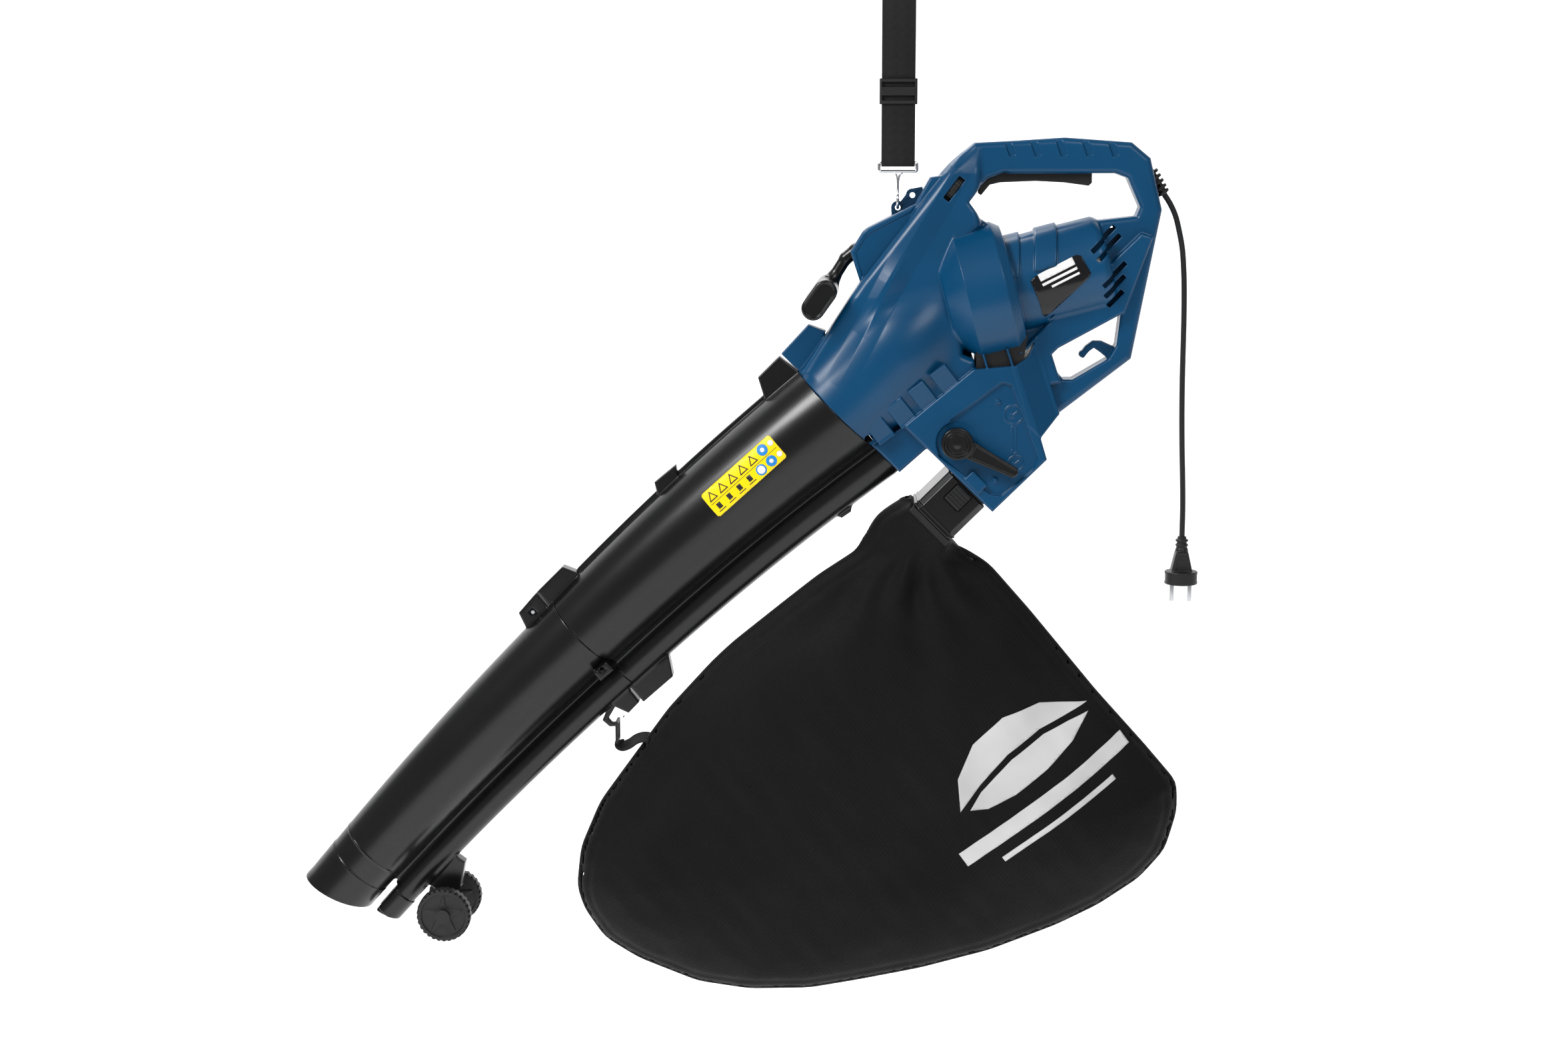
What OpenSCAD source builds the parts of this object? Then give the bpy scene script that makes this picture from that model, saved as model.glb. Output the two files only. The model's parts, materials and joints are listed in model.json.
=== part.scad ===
// Electric leaf blower and garden vacuum, hanging by its shoulder strap.
// +X points to the rear handle, +Y away from the changeover lever, +Z up.
// The origin is the inside top of the strap's loop. Outlines are drawn in X and Z.

/* [Strap] */
// Width of the webbing
web_w = 35.5; // [30:0.5:40]
// Thickness of the webbing
web_t = 2; // [1.5:0.1:2.5]
// Inside radius of the loop at the top
loop_r = 14; // [10:1:18]
// Wire diameter of the strap hook
wire_d = 3.5; // [3:0.1:4]

/* [Housing] */
// Wall thickness of the moulded shells
wall = 2.5; // [2:0.1:3]
// Half width of the rear handle loop
loop_half = 19; // [17:0.5:21]
// Half width of the front body and the brace
body_half = 30; // [27:0.5:33]
// Half width of the neck at the speed dial
neck_half = 24; // [23:0.5:25]
// Half width of the outlet box
box_half = 45; // [42:0.5:48]
// Half width of the outlet box's flank
flank_half = 34; // [32:0.5:36]
// Outside radius of the fan drum
drum_r = 72; // [70:0.5:74]
// Outside radius of the motor barrel
barrel_r = 51; // [49:0.5:53]
// Tilt of the motor shaft above the horizontal
motor_tilt = 14.4; // [12:0.1:16]

/* [Tubes] */
// Wall thickness of the tubes
tube_wall = 2.2; // [1.8:0.1:2.6]
// Radius of the suction duct at the housing
duct_r = 59; // [57:0.5:60]
// Radius of the blow duct at the housing
blow_r = 24; // [22:0.5:25]
// Length of the spigots in their sockets
spigot_len = 32; // [25:1:38]

/* [Wheels] */
// Radius of the wheels
wheel_r = 30; // [28:0.5:31]
// Width of the wheels
wheel_w = 14; // [12:0.5:15]
// Distance between the wheels' middle planes
wheel_track = 70; // [68:1:74]

/* [Controls] */
// Half width of the trigger
trigger_half = 8.5; // [7:0.5:9]
// Radius of the speed dial
dial_r = 17; // [16:0.5:17]
// Length of the changeover lever from its pivot to its tip
lever_len = 69; // [64:1:70]

/* [Bag] */
// Half thickness of the hanging bag
bag_half = 62; // [50:1:70]
// Half width of the connector duct
connector_half = 40; // [36:0.5:42]

/* [Cord] */
// Diameter of the mains cord
cord_d = 6; // [5.5:0.1:6.5]
// Sides of the cord's tube
cord_sides = 8; // [8:1:12]

/* [Hidden] */
$fn = 48;

blue = [0.07, 0.31, 0.51];
black = [0.07, 0.07, 0.08];
steel = [0.75, 0.76, 0.78];
fabric = [0.06, 0.06, 0.06];

gap = 0.3;                       // clearance between neighbouring pieces
far_away = 400;                  // size of the blocks that cut at a plane

// Strap and lug, as [x, z]
hook_eye = [0, -272];            // eye that carries the hook
spare_eye = [15.5, -259];        // eye left free
eye_r = 3;
lug_half = 2.5;
hook_top = -225;                 // height of the wire's upper bar
hook_low = -234;                 // height of the wire's lower bar
hook_half = 20;                  // half width of the wire rectangle

// Fan and motor: a shaft through drum_mid at motor_tilt
drum_mid = [99, -360.5];
drum_half = 25.5;
scroll_r = 66;                   // inner casing of the fan: radius, and its ends along the shaft
scroll_front = -22.7;
scroll_back = 19;
shoulder = 22;                   // length of the drum's cone towards the duct
barrel_end = 128;
shaft_r = 4;
fit = 0.05;                      // radial clearance of a running fit

// Duct centre lines, as [x, z]
duct_top = [-62, -488];          // suction duct at the housing seam
duct_mid = [-340, -734];         // suction duct at the seam between the tubes
duct_end = [-621, -1032];        // suction mouth
blow_top = [-12, -537];
blow_mid = [-294, -779];
blow_end = [-567, -1057];
seam_dir = 225.5;                // outward direction of the housing seam
mid_dir = 224;                   // outward direction of the seam between the tubes
duct_mid_r = 49;
duct_end_r = 38;
blow_mid_r = 19;
blow_end_r = 15.5;

// Controls, as [x, z]
trigger_pivot = [99, -232];
dial_mid = [59, -252];
dial_dir = -37;                  // direction of the dial's axle
dial_y = -12;
dial_slit = 7.2;                 // width of the slit that the dial turns in
lever_pivot = [64.5, -518];
lever_dir = -26.4;
flap_len = 50;
cap_r = 13.5;                    // cap in the lever's hub
cap_t = 3;
axle_mid = [-496.5, -1048.5];
lug_w = 10;                      // half width of the lugs that join the tubes
screw_a = [-136, -456];          // the four screws through them
screw_b = [-372, -686];
screw_c = [-262, -786];
screw_d = [-396, -712];
tether_x = -305;                 // where the bag's loop hangs on the tube

// Bag connector
connector_mid = [76, -569];      // middle of its joint with the outlet box
connector_dir = 225;
connector_w = 54;
connector_len = 52;
latch_mid = [66, -577.5];
latch_turn = 45;                 // its ribs run across the connector

// Front handle
stem_start = [-36, -318];
stem_bend = [-60, -330];
stem_end = [-78, -356];
stem_r = 8;
grip_mid = [-85, -366];
grip_dir = 57;

// Cord: its route after the gland, and the plug's place
gland_start = [262, -230];
gland_dir = -55;
gland_len = 34;
cord_end = -624;
clamp_mid = [248, -224];         // clamp on the cord inside the handle
cord_x = 309.5;
plug_face = -676;                // face of the plug, and its two pins
pin_pitch = 19;
pin_len = 19;
pin_r = 2.4;
cord_hook_half = 6;              // half width of the hook that holds a loop of cord
cord_route = [[281.5, 0, -257.9], [288, 0, -268], [294, 0, -281], [298.5, 0, -298], [302, 0, -316],
    [304, 0, -338], [305, 0, -360], [305.5, 0, -390], [305.5, 0, -420], [305.5, 0, -455],
    [306, 0, -490], [307, 0, -525], [308.5, 0, -560], [309.5, 0, -592], [cord_x, 0, cord_end]];

// Outlines, as [x, z]
frame_outline = [[80, -204], [120, -202], [175, -198.5], [245, -203.5], [265, -220], [278, -274],
    [249, -431], [168, -494], [120, -470], [62, -400], [20, -330], [22, -280], [47, -237]];
upper_window = [[77, -266], [84, -257], [96, -244], [112, -238], [228, -237.5], [240, -242],
    [253, -271], [250, -279], [188, -286], [148, -294.5], [111, -306], [106, -290.5], [88, -280.5]];
lug_outline_blue = [[-95, -396], [-74, -404], [-100, -446], [-124, -430]];
cord_hook_outline = [[231, -419], [226, -432], [216, -424], [210, -420], [205, -424], [199, -431],
    [195, -428], [201, -419], [209, -413], [218, -413]];
lower_window = [[236, -380], [232, -416], [224, -430], [187, -452], [178, -452], [172, -445],
    [166, -426], [171, -418]];
neck_outline = [[38, -247], [62, -226], [78, -252], [80, -290], [64, -330], [20, -345], [-20, -318]];
front_outline = [[-8, -296], [22, -286], [80, -296], [64, -330], [66, -420], [0, -480], [-50, -500],
    [-104, -447], [-39, -346]];
pod_outline = [[-39, -351], [-50, -318], [-35, -296], [18, -268], [34, -240], [48, -238],
    [40, -300], [0, -340]];
brace_outline = [[141, -412], [255, -299], [266, -304], [243, -376], [236, -378], [168, -418],
    [155, -436]];
box_outline = [[8, -501], [81, -440], [126, -435], [153, -513], [160, -536], [103, -592.5], [34, -526]];
flank_outline = [[120, -437], [147, -407], [173.5, -489], [153, -513], [135, -500]];
trigger_slot = [[82, -262], [82, -246], [90, -233], [206.5, -233], [206.5, -249], [98, -249],
    [88, -262]];
throat_outline = [[84, -418], [138, -404], [131, -450], [84, -450]];
bag_outline = [[13, -592.5], [-15, -606], [-22, -625], [-40, -643], [-82, -671], [-122, -703],
    [-176, -747], [-198, -768], [-246, -821], [-298, -893], [-323, -928], [-345, -980], [-350, -1025],
    [-342, -1050], [-320, -1082], [-283, -1105], [-217, -1131], [-160, -1139], [-93, -1137],
    [-40, -1127], [30, -1112], [107, -1090], [180, -1060], [226, -1036], [270, -1005], [297, -973],
    [309, -930], [308, -898], [273, -857], [218, -796], [145, -708], [100, -657], [76, -642],
    [52.5, -632]];
bag_heart = [-40, -890];

// Moves each edge of a closed outline inwards by d
function edge_dir(a, b) = (b - a) / norm(b - a);
function shifted(a, b, d) = let(u = edge_dir(a, b)) a + d * [u[1], -u[0]];
function crossing(p, u, q, v) = p + u * ((q - p) * [-v[1], v[0]]) / (u * [-v[1], v[0]]);
function inset(pts, d) = [for (i = [0:len(pts) - 1])
    let(a = pts[(i + len(pts) - 1) % len(pts)], b = pts[i], c = pts[(i + 1) % len(pts)])
    crossing(shifted(a, b, d), edge_dir(a, b), shifted(b, c, d), edge_dir(b, c))];

function heading(p, q) = atan2(q[1] - p[1], q[0] - p[0]);
function step(p, angle, s) = p + s * [cos(angle), sin(angle)];

// Extrudes an outline drawn in X and Z from y0 to y1
module slab(y0, y1) rotate([90, 0, 0]) translate([0, 0, -y1]) linear_extrude(y1 - y0) children();

// Puts local z along a direction in the XZ plane, from the point p
module along(p, angle) translate([p[0], 0, p[1]]) rotate([0, 90 - angle, 0]) children();

// Puts local z along +Y, from the point p at the height y
module pivot(p, y = 0) translate([p[0], y, p[1]]) rotate([-90, 0, 0]) children();

// Extrudes an outline drawn in Y and Z along X
module across(x0, x1) translate([x0, 0, 0]) rotate([90, 0, 90]) linear_extrude(x1 - x0) children();

// Everything past a plane through p that faces the given direction
module past(p, angle) along(p, angle) translate([-far_away / 2, -far_away / 2, 0]) cube(far_away);

// A straight duct from p to q, its radius changing evenly, longer by lead and tail
module duct(p, q, rp, rq, grow = 0, lead = 0, tail = 0) {
    taper = (rq - rp) / norm(q - p);
    along(p, heading(p, q)) translate([0, 0, -lead])
        cylinder(h = norm(q - p) + lead + tail, r1 = rp - taper * lead + grow, r2 = rq + taper * tail + grow);
}

// Round bar between two points of the YZ, XZ or XY plane
module bar(a, b, r) {
    v = b - a;
    translate(a) rotate([0, acos(v[2] / norm(v)), atan2(v[1], v[0])]) cylinder(h = norm(v), r = r, $fn = 24);
}

// ---------------------------------------------------------------- strap

// The webbing's closed loop in Y and Z: wide at the top, drawn together above the hook
function web_loop(r, low) = concat([for (a = [0:15:180]) [r * cos(a), r * sin(a) - loop_r]],
    [[-r, -96], [-low, -130]],
    [for (a = [180:30:360]) [low * cos(a), hook_top + low * sin(a)]],
    [[low, -130], [r, -96]]);

module strap_webbing() {
    low = wire_d / 2 + 0.45;
    color(fabric) across(-web_w / 2, web_w / 2) difference() {
        polygon(web_loop(loop_r + web_t, low + web_t));
        polygon(web_loop(loop_r, low));
    }
}

module strap_slider() color(black) {
    difference() {
        translate([-23, -7.5, -167]) cube([46, 15, 33]);
        translate([-18.4, -4.9, -170]) cube([36.8, 9.8, 39]);
    }
    translate([-19, -1.6, -155]) cube([38, 3.2, 9]);
}

module strap_hook() {
    r = wire_d / 2;
    thin = 0.9 * r;
    ball = 1.08 * r;
    color(steel) {
        for (z = [hook_top, hook_low]) bar([-hook_half, 0, z], [hook_half, 0, z], r);
        for (x = [-hook_half, hook_half]) {
            bar([x, 0, hook_low], [x, 0, hook_top], thin);
            for (z = [hook_top, hook_low]) translate([x, 0, z]) sphere(r = ball, $fn = 24);
        }
        bar([0, 0, -258], [0, 0, hook_low], thin);
        for (z = [-258, hook_eye[1]]) bar([0, -5.5, z], [0, 5.5, z], r);
        for (y = [-5.5, 5.5]) {
            bar([0, y, hook_eye[1]], [0, y, -258], thin);
            for (z = [-258, hook_eye[1]]) translate([0, y, z]) sphere(r = ball, $fn = 24);
        }
    }
}

module lug_outline() {
    translate(hook_eye) circle(r = 7);
    translate(spare_eye) circle(r = 7);
    polygon([[-7, -272], [-6, -292], [30, -272], [26, -250], [13, -252.5], [3, -265.7]]);
}

module strap_lug() color(blue * 0.7) difference() {
    slab(-lug_half, lug_half) lug_outline();
    for (eye = [hook_eye, spare_eye]) pivot(eye, -5) cylinder(h = 10, r = eye_r);
}

// ---------------------------------------------------------------- housing

// The housing's outer form, with every face moved inwards by d
module housing_form(d) {
    difference() {
        slab(-loop_half + d, loop_half - d) polygon(inset(frame_outline, d));
        slab(-far_away, far_away) polygon(inset(upper_window, -d));
        slab(-far_away, far_away) polygon(inset(lower_window, -d));
    }
    slab(-neck_half + d, neck_half - d) polygon(inset(neck_outline, d));
    slab(-body_half + d, body_half - d) polygon(inset(front_outline, d));
    slab(-24 + d, 24 - d) polygon(inset(pod_outline, d));
    slab(-body_half + d, body_half - d) polygon(inset(brace_outline, d));
    slab(-box_half + d, box_half - d) polygon(inset(box_outline, d));
    slab(-flank_half + d, flank_half - d) polygon(inset(flank_outline, d));
    along(drum_mid, motor_tilt) {
        translate([0, 0, -drum_half + d]) cylinder(h = 2 * (drum_half - d), r = drum_r - d);
        translate([0, 0, -drum_half - shoulder + d])
            cylinder(h = shoulder + 0.01, r1 = drum_r - shoulder - d, r2 = drum_r - d);
        cylinder(h = barrel_end - d, r = barrel_r - d);
    }
    duct(duct_top, step(duct_top, seam_dir - 180, 128), duct_r, 64, -d);
    duct(blow_top, step(blow_top, seam_dir - 180, 66), blow_r, blow_r, -d);
    slab(-lug_w + d, lug_w - d) polygon(inset(lug_outline_blue, d));
}

// Slots of the cooling vents: start, direction and length
vents = [[[203, -317], 46, 36], [[209, -326], 46, 36], [[216, -353], 46, 34], [[218, -364], 46, 30],
    [[222, -374], 46, 22]];

module vent_slots() for (v = vents) along(v[0], v[1])
    translate([-2.6, -far_away / 2, 0]) cube([5.2, far_away, v[2]]);

// Housing screws: place, and the half width of the housing there
screw_spots = [[[86, -216], 19], [[236, -217], 19], [[262, -285], 19], [[239, -424], 19],
    [[160, -478], 34], [[62, -470], 45], [[-36, -330], 24], [[60, -285], 24]];

module screw_bosses() for (p = screw_spots) pivot(p[0], 1 - p[1]) cylinder(h = 2 * p[1] - 2, r = 4.2);

module screw_bores() for (p = screw_spots) {
    pivot(p[0], 5 - p[1]) cylinder(h = 2 * p[1], r = 1.9);
    pivot(p[0], p[1] - 3) cylinder(h = 10, r = 3.8);
}

// Seat of the cord gland: its neck, then room for its ribs
module gland_bore() along(gland_start, gland_dir) {
    translate([0, 0, -10]) cylinder(h = 20, r = 6.5);
    translate([0, 0, 8]) cylinder(h = 30, r = 8.2);
}

module housing_half(side) {
    color(blue) difference() {
        intersection() {
            union() {
                difference() {
                    housing_form(0);
                    housing_form(wall);
                }
                screw_bosses();
                slab(-cord_hook_half, cord_hook_half) polygon(cord_hook_outline);
            }
            translate([-far_away, side < 0 ? -far_away : 0, -2 * far_away])
                cube([2 * far_away, far_away, 2 * far_away]);
        }
        past(step(duct_top, seam_dir, 0), seam_dir);
        along(duct_top, seam_dir) translate([0, 0, -8]) cylinder(h = 20, r = duct_r - wall);
        along(blow_top, seam_dir) translate([0, 0, -8]) cylinder(h = 20, r = blow_r - wall);
        vent_slots();
        slab(-lug_half, lug_half) lug_outline();
        slab(-39, 39) polygon(throat_outline);
        screw_bores();
        slab(-trigger_half - 0.8, trigger_half + 0.8) polygon(trigger_slot);
        along(step(dial_mid, dial_dir, -dial_slit / 2), dial_dir) {
            translate([-14, -60, 0]) cube([28, 60 + dial_y, dial_slit]);
            translate([0, dial_y, 0]) cylinder(h = dial_slit, r = dial_r + 1);
        }
        pivot(lever_pivot, -60) cylinder(h = 59.2 + box_half, r = 6 + fit);
        along(connector_mid, connector_dir) translate([-connector_w / 2 - gap, -connector_half - gap, -8])
            cube([connector_w + 2 * gap, 2 * (connector_half + gap), 16]);
        gland_bore();
        along(stem_start, heading(stem_start, stem_bend)) translate([0, 0, -10])
            cylinder(h = 30, r = stem_r + 0.2);
    }
}

module housing_left() housing_half(-1);
module housing_right() housing_half(1);

module housing_screws() color(steel) for (p = screw_spots) {
    pivot(p[0], 5 - p[1]) cylinder(h = 2 * p[1] - 8, r = 1.9);
    pivot(p[0], p[1] - 3) cylinder(h = 2.5, r = 3.6);
}

// A thin plate that hugs the motor barrel
module badge_plate() color(black) intersection() {
    along(drum_mid, motor_tilt) difference() {
        translate([0, 0, 30]) cylinder(h = 90, r = barrel_r + 1.2);
        translate([0, 0, 29]) cylinder(h = 92, r = barrel_r);
    }
    slab(-90, 0) polygon([[141, -339], [191, -314], [200, -332], [155, -379]]);
}

// ---------------------------------------------------------------- fan and motor

// Local z runs along the motor shaft, towards the rear handle
module on_shaft(z = 0) along(drum_mid, motor_tilt) translate([0, 0, z]) children();

module fan_housing() color(black) difference() {
    union() {
        on_shaft(scroll_front) cylinder(h = scroll_back - scroll_front, r = scroll_r);
        slab(-38, 38) polygon(throat_outline);
    }
    on_shaft(scroll_front - 1) cylinder(h = scroll_back - scroll_front - 1, r = scroll_r - 3.5);
    on_shaft(scroll_front - 1) cylinder(h = scroll_back - scroll_front + 2, r = 12);
    slab(-35.5, 35.5) polygon([[87, -380], [134, -380], [129, -460], [87, -460]]);
}

module ring(z, h, r_out, r_in) on_shaft(z) difference() {
    cylinder(h = h, r = r_out);
    translate([0, 0, -1]) cylinder(h = h + 2, r = r_in);
}

module motor_stator() color(steel * 0.7) {
    ring(42, 38, 36, 24);
    for (z = [36, 79.9]) ring(z, 6.1, 34, 27);
}

module brush_holders() color([0.72, 0.56, 0.25]) on_shaft(94) for (side = [-1, 1])
    translate([-5, side < 0 ? -30 : 12.6, -4]) cube([10, 17.4, 8]);

module bearing(z) color(steel) ring(z, 8, 11.5, shaft_r + fit);
module bearing_front() bearing(26);
module bearing_rear() bearing(112);

module motor_shaft() color(steel) on_shaft(-20) cylinder(h = 142, r = shaft_r);

module armature() color([0.55, 0.4, 0.28]) {
    ring(42, 38, 22.8, shaft_r + fit / 2);
    for (z = [37, 79.8]) ring(z, 5.2, 17, shaft_r + fit / 2);
}

module commutator() color([0.75, 0.42, 0.24]) ring(87, 16, 12, shaft_r);

module impeller() color(black) {
    ring(12, 3, 60, shaft_r);
    ring(-14, 26.5, 11, shaft_r);
    on_shaft(-13) for (i = [0:7]) rotate([0, 0, 45 * i])
        translate([10, -1.2, 0]) cube([48, 2.4, 25.5]);
}

module impeller_nut() color(steel) on_shaft(-20.5) difference() {
    cylinder(h = 6, r = 7.5, $fn = 6);
    translate([0, 0, -1]) cylinder(h = 8, r = shaft_r);
}

// ---------------------------------------------------------------- controls

module main_switch() color(black) slab(-7, 7)
    polygon([[142, -218], [142, -206], [186, -206], [186, -218], [168, -218], [166, -220.5], [160, -220.5],
        [158, -218]]);

module capacitor() color([0.75, 0.65, 0.2]) translate([192, -7, -219]) cube([20, 14, 11]);

module speed_board() color([0.1, 0.35, 0.2]) along(step(dial_mid, dial_dir, 5.5), dial_dir)
    translate([-15, -8, 0]) cube([30, 20, 1.6]);

module speed_dial() color(black) along(step(dial_mid, dial_dir, -3), dial_dir)
    translate([0, dial_y, 0]) difference() {
        cylinder(h = 6, r = dial_r);
        for (i = [0:23]) rotate([0, 0, 15 * i]) translate([dial_r + 0.3, 0, -1]) cylinder(h = 8, r = 1, $fn = 16);
    }

module trigger() color(black) difference() {
    slab(-trigger_half, trigger_half) polygon([[85, -257], [88, -259], [97, -248], [108, -245.5],
        [145, -244], [175, -245.5], [201, -249], [204.5, -246], [204.5, -228], [112, -226], [94, -226],
        [93, -238], [85, -250]]);
    pivot(trigger_pivot, -20) cylinder(h = 40, r = 2 + fit);
}

module trigger_pin() color(steel) pivot(trigger_pivot, -loop_half + wall)
    cylinder(h = 2 * (loop_half - wall), r = 2);

// ---------------------------------------------------------------- changeover

module changeover_lever() color(black) difference() {
    union() {
        pivot(lever_pivot, -box_half - 14) cylinder(h = 13, r = 17);
        slab(-box_half - 12, -box_half - 3) polygon([step(lever_pivot, lever_dir + 90, 11),
            step(step(lever_pivot, lever_dir, lever_len), lever_dir + 90, 5),
            step(lever_pivot, lever_dir, lever_len + 3),
            step(step(lever_pivot, lever_dir, lever_len), lever_dir - 90, 6),
            step(lever_pivot, lever_dir - 90, 11)]);
    }
    pivot(lever_pivot, -box_half - 15) cylinder(h = 1 + cap_t, r = cap_r);
}

module lever_cap() color([0.12, 0.12, 0.13]) pivot(lever_pivot, -box_half - 14)
    cylinder(h = cap_t, r = cap_r);

module flap_shaft() color(steel) pivot(lever_pivot, -box_half - 1) cylinder(h = 2 * box_half, r = 6);

module changeover_flap() color(black) difference() {
    union() {
        pivot(lever_pivot, -38) cylinder(h = 76, r = 9);
        slab(-38, 38) polygon([step(lever_pivot, lever_dir + 90, 2),
            step(step(lever_pivot, lever_dir, flap_len), lever_dir + 90, 1.2),
            step(step(lever_pivot, lever_dir, flap_len), lever_dir - 90, 1.2),
            step(lever_pivot, lever_dir - 90, 2)]);
    }
    pivot(lever_pivot, -50) cylinder(h = 100, r = 6);
}

// ---------------------------------------------------------------- cord

module cord_gland() color(black) {
    along(gland_start, gland_dir) {
        translate([0, 0, -8]) cylinder(h = 14, r = 6.4);
        cylinder(h = gland_len, r1 = 6.4, r2 = 4.6);
        for (s = [9, 15, 21, 27]) translate([0, 0, s]) cylinder(h = 3, r = 8 - s * 0.05);
        translate([0, 0, gland_len - 3]) cylinder(h = 3, r = 6);
    }
}

module cord_clamp() color(black) translate([clamp_mid[0] - 6, -8, clamp_mid[1]]) cube([12, 16, 4]);

// Rings of a swept tube: one round ring at each point, square to the route
function tangent(pts, i) = let(a = pts[max(i - 1, 0)], b = pts[min(i + 1, len(pts) - 1)]) (b - a) / norm(b - a);
function ring_at(pts, i, r, n) = let(t = tangent(pts, i), u = [-t[2], 0, t[0]] / norm([t[2], t[0]]))
    [for (k = [0:n - 1]) pts[i] + r * (cos(360 * k / n) * u + sin(360 * k / n) * [0, 1, 0])];

// Straight stretches between the route's points, cut into short even steps
function between(a, b, n) = [for (k = [0:n - 1]) a + (b - a) * k / n];

module swept(pts, r, n) {
    rings = [for (i = [0:len(pts) - 1]) each ring_at(pts, i, r, n)];
    count = len(pts);
    sides = [for (i = [0:count - 2]) for (k = [0:n - 1])
        [i * n + k, (i + 1) * n + k, (i + 1) * n + (k + 1) % n, i * n + (k + 1) % n]];
    start = [[for (k = [0:n - 1]) k]];
    end = [[for (k = [0:n - 1]) count * n - 1 - k]];
    polyhedron(points = rings, faces = concat(sides, start, end), convexity = 4);
}

module mains_cord() color(black) swept(concat([for (i = [0:len(cord_route) - 2])
    each between(cord_route[i], cord_route[i + 1], 2)], [cord_route[len(cord_route) - 1]]),
    cord_d / 2, cord_sides);

// Round flat-faced plug: sleeve, body and flange, hanging with its pins down
module plug_body() color(black) translate([cord_x, 0, 0]) {
    translate([0, 0, -642]) cylinder(h = 18, r1 = 8, r2 = 5);
    translate([0, 0, -662]) cylinder(h = 20.01, r1 = 13, r2 = 8);
    translate([0, 0, plug_face]) cylinder(h = 14.01, r = 18);
}

// The pins stand on the plug's face; what is moulded into the body isn't modelled
module plug_pins() color(steel) for (side = [-1, 1])
    translate([cord_x + side * pin_pitch / 2, 0, plug_face - pin_len]) cylinder(h = pin_len, r = pin_r);

// ---------------------------------------------------------------- tubes

// The long screw lug that joins two tube ends: its outline and half width
module top_lug_outline() polygon([[-126, -430], [-149, -453], [-141, -479], [-100, -450]]);
module mid_lug_outline() polygon([[-345, -668], [-363, -661], [-391, -689], [-370, -715]]);
module low_lug_outline() polygon([[-392, -690], [-412, -713], [-402, -734], [-371, -716]]);
module mid_keel_outline() polygon([[-247, -758], [-242, -784], [-272, -816], [-292, -792]]);
module low_keel_outline() polygon([[-274, -818], [-284, -828], [-306, -818], [-320, -808], [-294, -793]]);

module tube_form(grow, lead, tail) {
    duct(duct_top, duct_mid, duct_r, duct_mid_r, grow, lead, tail);
    duct(blow_top, blow_mid, blow_r, blow_mid_r, grow, lead, tail);
}

module end_form(grow, lead, tail) {
    duct(duct_mid, duct_end, duct_mid_r - 0.5, duct_end_r, grow, lead, tail);
    duct(blow_mid, blow_end, blow_mid_r - 0.5, blow_end_r, grow, lead, 0);
}

// A straight socket end: the spigot that enters the piece above, or its bore
module spigot(p, dir, r, from, to) along(p, dir) translate([0, 0, from]) cylinder(h = to - from, r = r);

module upper_tube() color(black) difference() {
    union() {
        difference() {
            union() {
                tube_form(0, 12, 12);
                slab(-lug_w, lug_w) { top_lug_outline(); mid_lug_outline(); mid_keel_outline(); }
            }
            past(step(duct_top, seam_dir, gap), seam_dir + 180);
            past(step(duct_mid, mid_dir, -gap), mid_dir);
        }
        spigot(duct_top, seam_dir, duct_r - wall - gap, -spigot_len, 6);
        spigot(blow_top, seam_dir, blow_r - wall - gap, -spigot_len, 6);
    }
    duct(duct_top, duct_mid, duct_r, duct_mid_r, -tube_wall, -10, 20);
    spigot(duct_top, seam_dir, duct_r - wall - gap - tube_wall, -spigot_len - 1, 15);
    difference() {
        duct(blow_top, blow_mid, blow_r, blow_mid_r, -tube_wall, -10, 20);
        duct(duct_top, duct_mid, duct_r, duct_mid_r, 0, 60, 40);
    }
    difference() {
        spigot(blow_top, seam_dir, blow_r - wall - gap - tube_wall, -spigot_len - 1, 15);
        duct(duct_top, duct_mid, duct_r, duct_mid_r, 0, 60, 40);
    }
    for (p = [screw_a, screw_b, screw_c]) pivot(p, -20) cylinder(h = 40, r = 2.2);
}

// Carrier of the wheels, under the blow duct
module wheel_bracket() {
    slab(-8, 8) polygon([[-455, -985], [-478, -1035], [-500, -1062], [-512, -1052], [-510, -1030],
        [-540, -1010], [-500, -960]]);
    pivot(axle_mid, -26) cylinder(h = 52, r = 8);
}

// Hook that carries the bag's tether
module bag_hook() slab(-3, 3) polygon([[-290, -805], [-312, -815], [-320, -836], [-312, -843],
    [-298, -842], [-293, -831], [-297, -830], [-301, -837.5], [-309, -837.8], [-313, -833], [-306, -820],
    [-290, -815]]);

module lower_tube() color(black) difference() {
    union() {
        difference() {
            union() {
                end_form(0, 12, 12);
                slab(-lug_w, lug_w) { low_lug_outline(); low_keel_outline(); }
                wheel_bracket();
                bag_hook();
            }
            past(step(duct_mid, mid_dir, gap), mid_dir + 180);
            past(duct_end, 244);
            past(blow_end, 270);
        }
        spigot(duct_mid, mid_dir, duct_mid_r - tube_wall - 1.8, -spigot_len, 6);
    }
    duct(duct_mid, duct_end, duct_mid_r - 0.5, duct_end_r, -tube_wall, -10, 60);
    spigot(duct_mid, mid_dir, duct_mid_r - 2 * tube_wall - 1.8, -spigot_len - 1, 15);
    difference() {
        duct(blow_mid, blow_end, blow_mid_r - 0.5, blow_end_r, -tube_wall, 30, 30);
        duct(duct_mid, duct_end, duct_mid_r - 0.5, duct_end_r, 0, 60, 60);
    }
    pivot(axle_mid, -60) cylinder(h = 120, r = 4);
    pivot(screw_d, -20) cylinder(h = 40, r = 2.2);
}

module tube_screws() color(steel) for (p = [screw_a, screw_b, screw_c, screw_d]) pivot(p, 1 - lug_w) {
    cylinder(h = 2 * lug_w - 1, r = 2, $fn = 20);
    translate([0, 0, 2 * lug_w - 1]) cylinder(h = 2.5, r = 4, $fn = 20);
}

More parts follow.
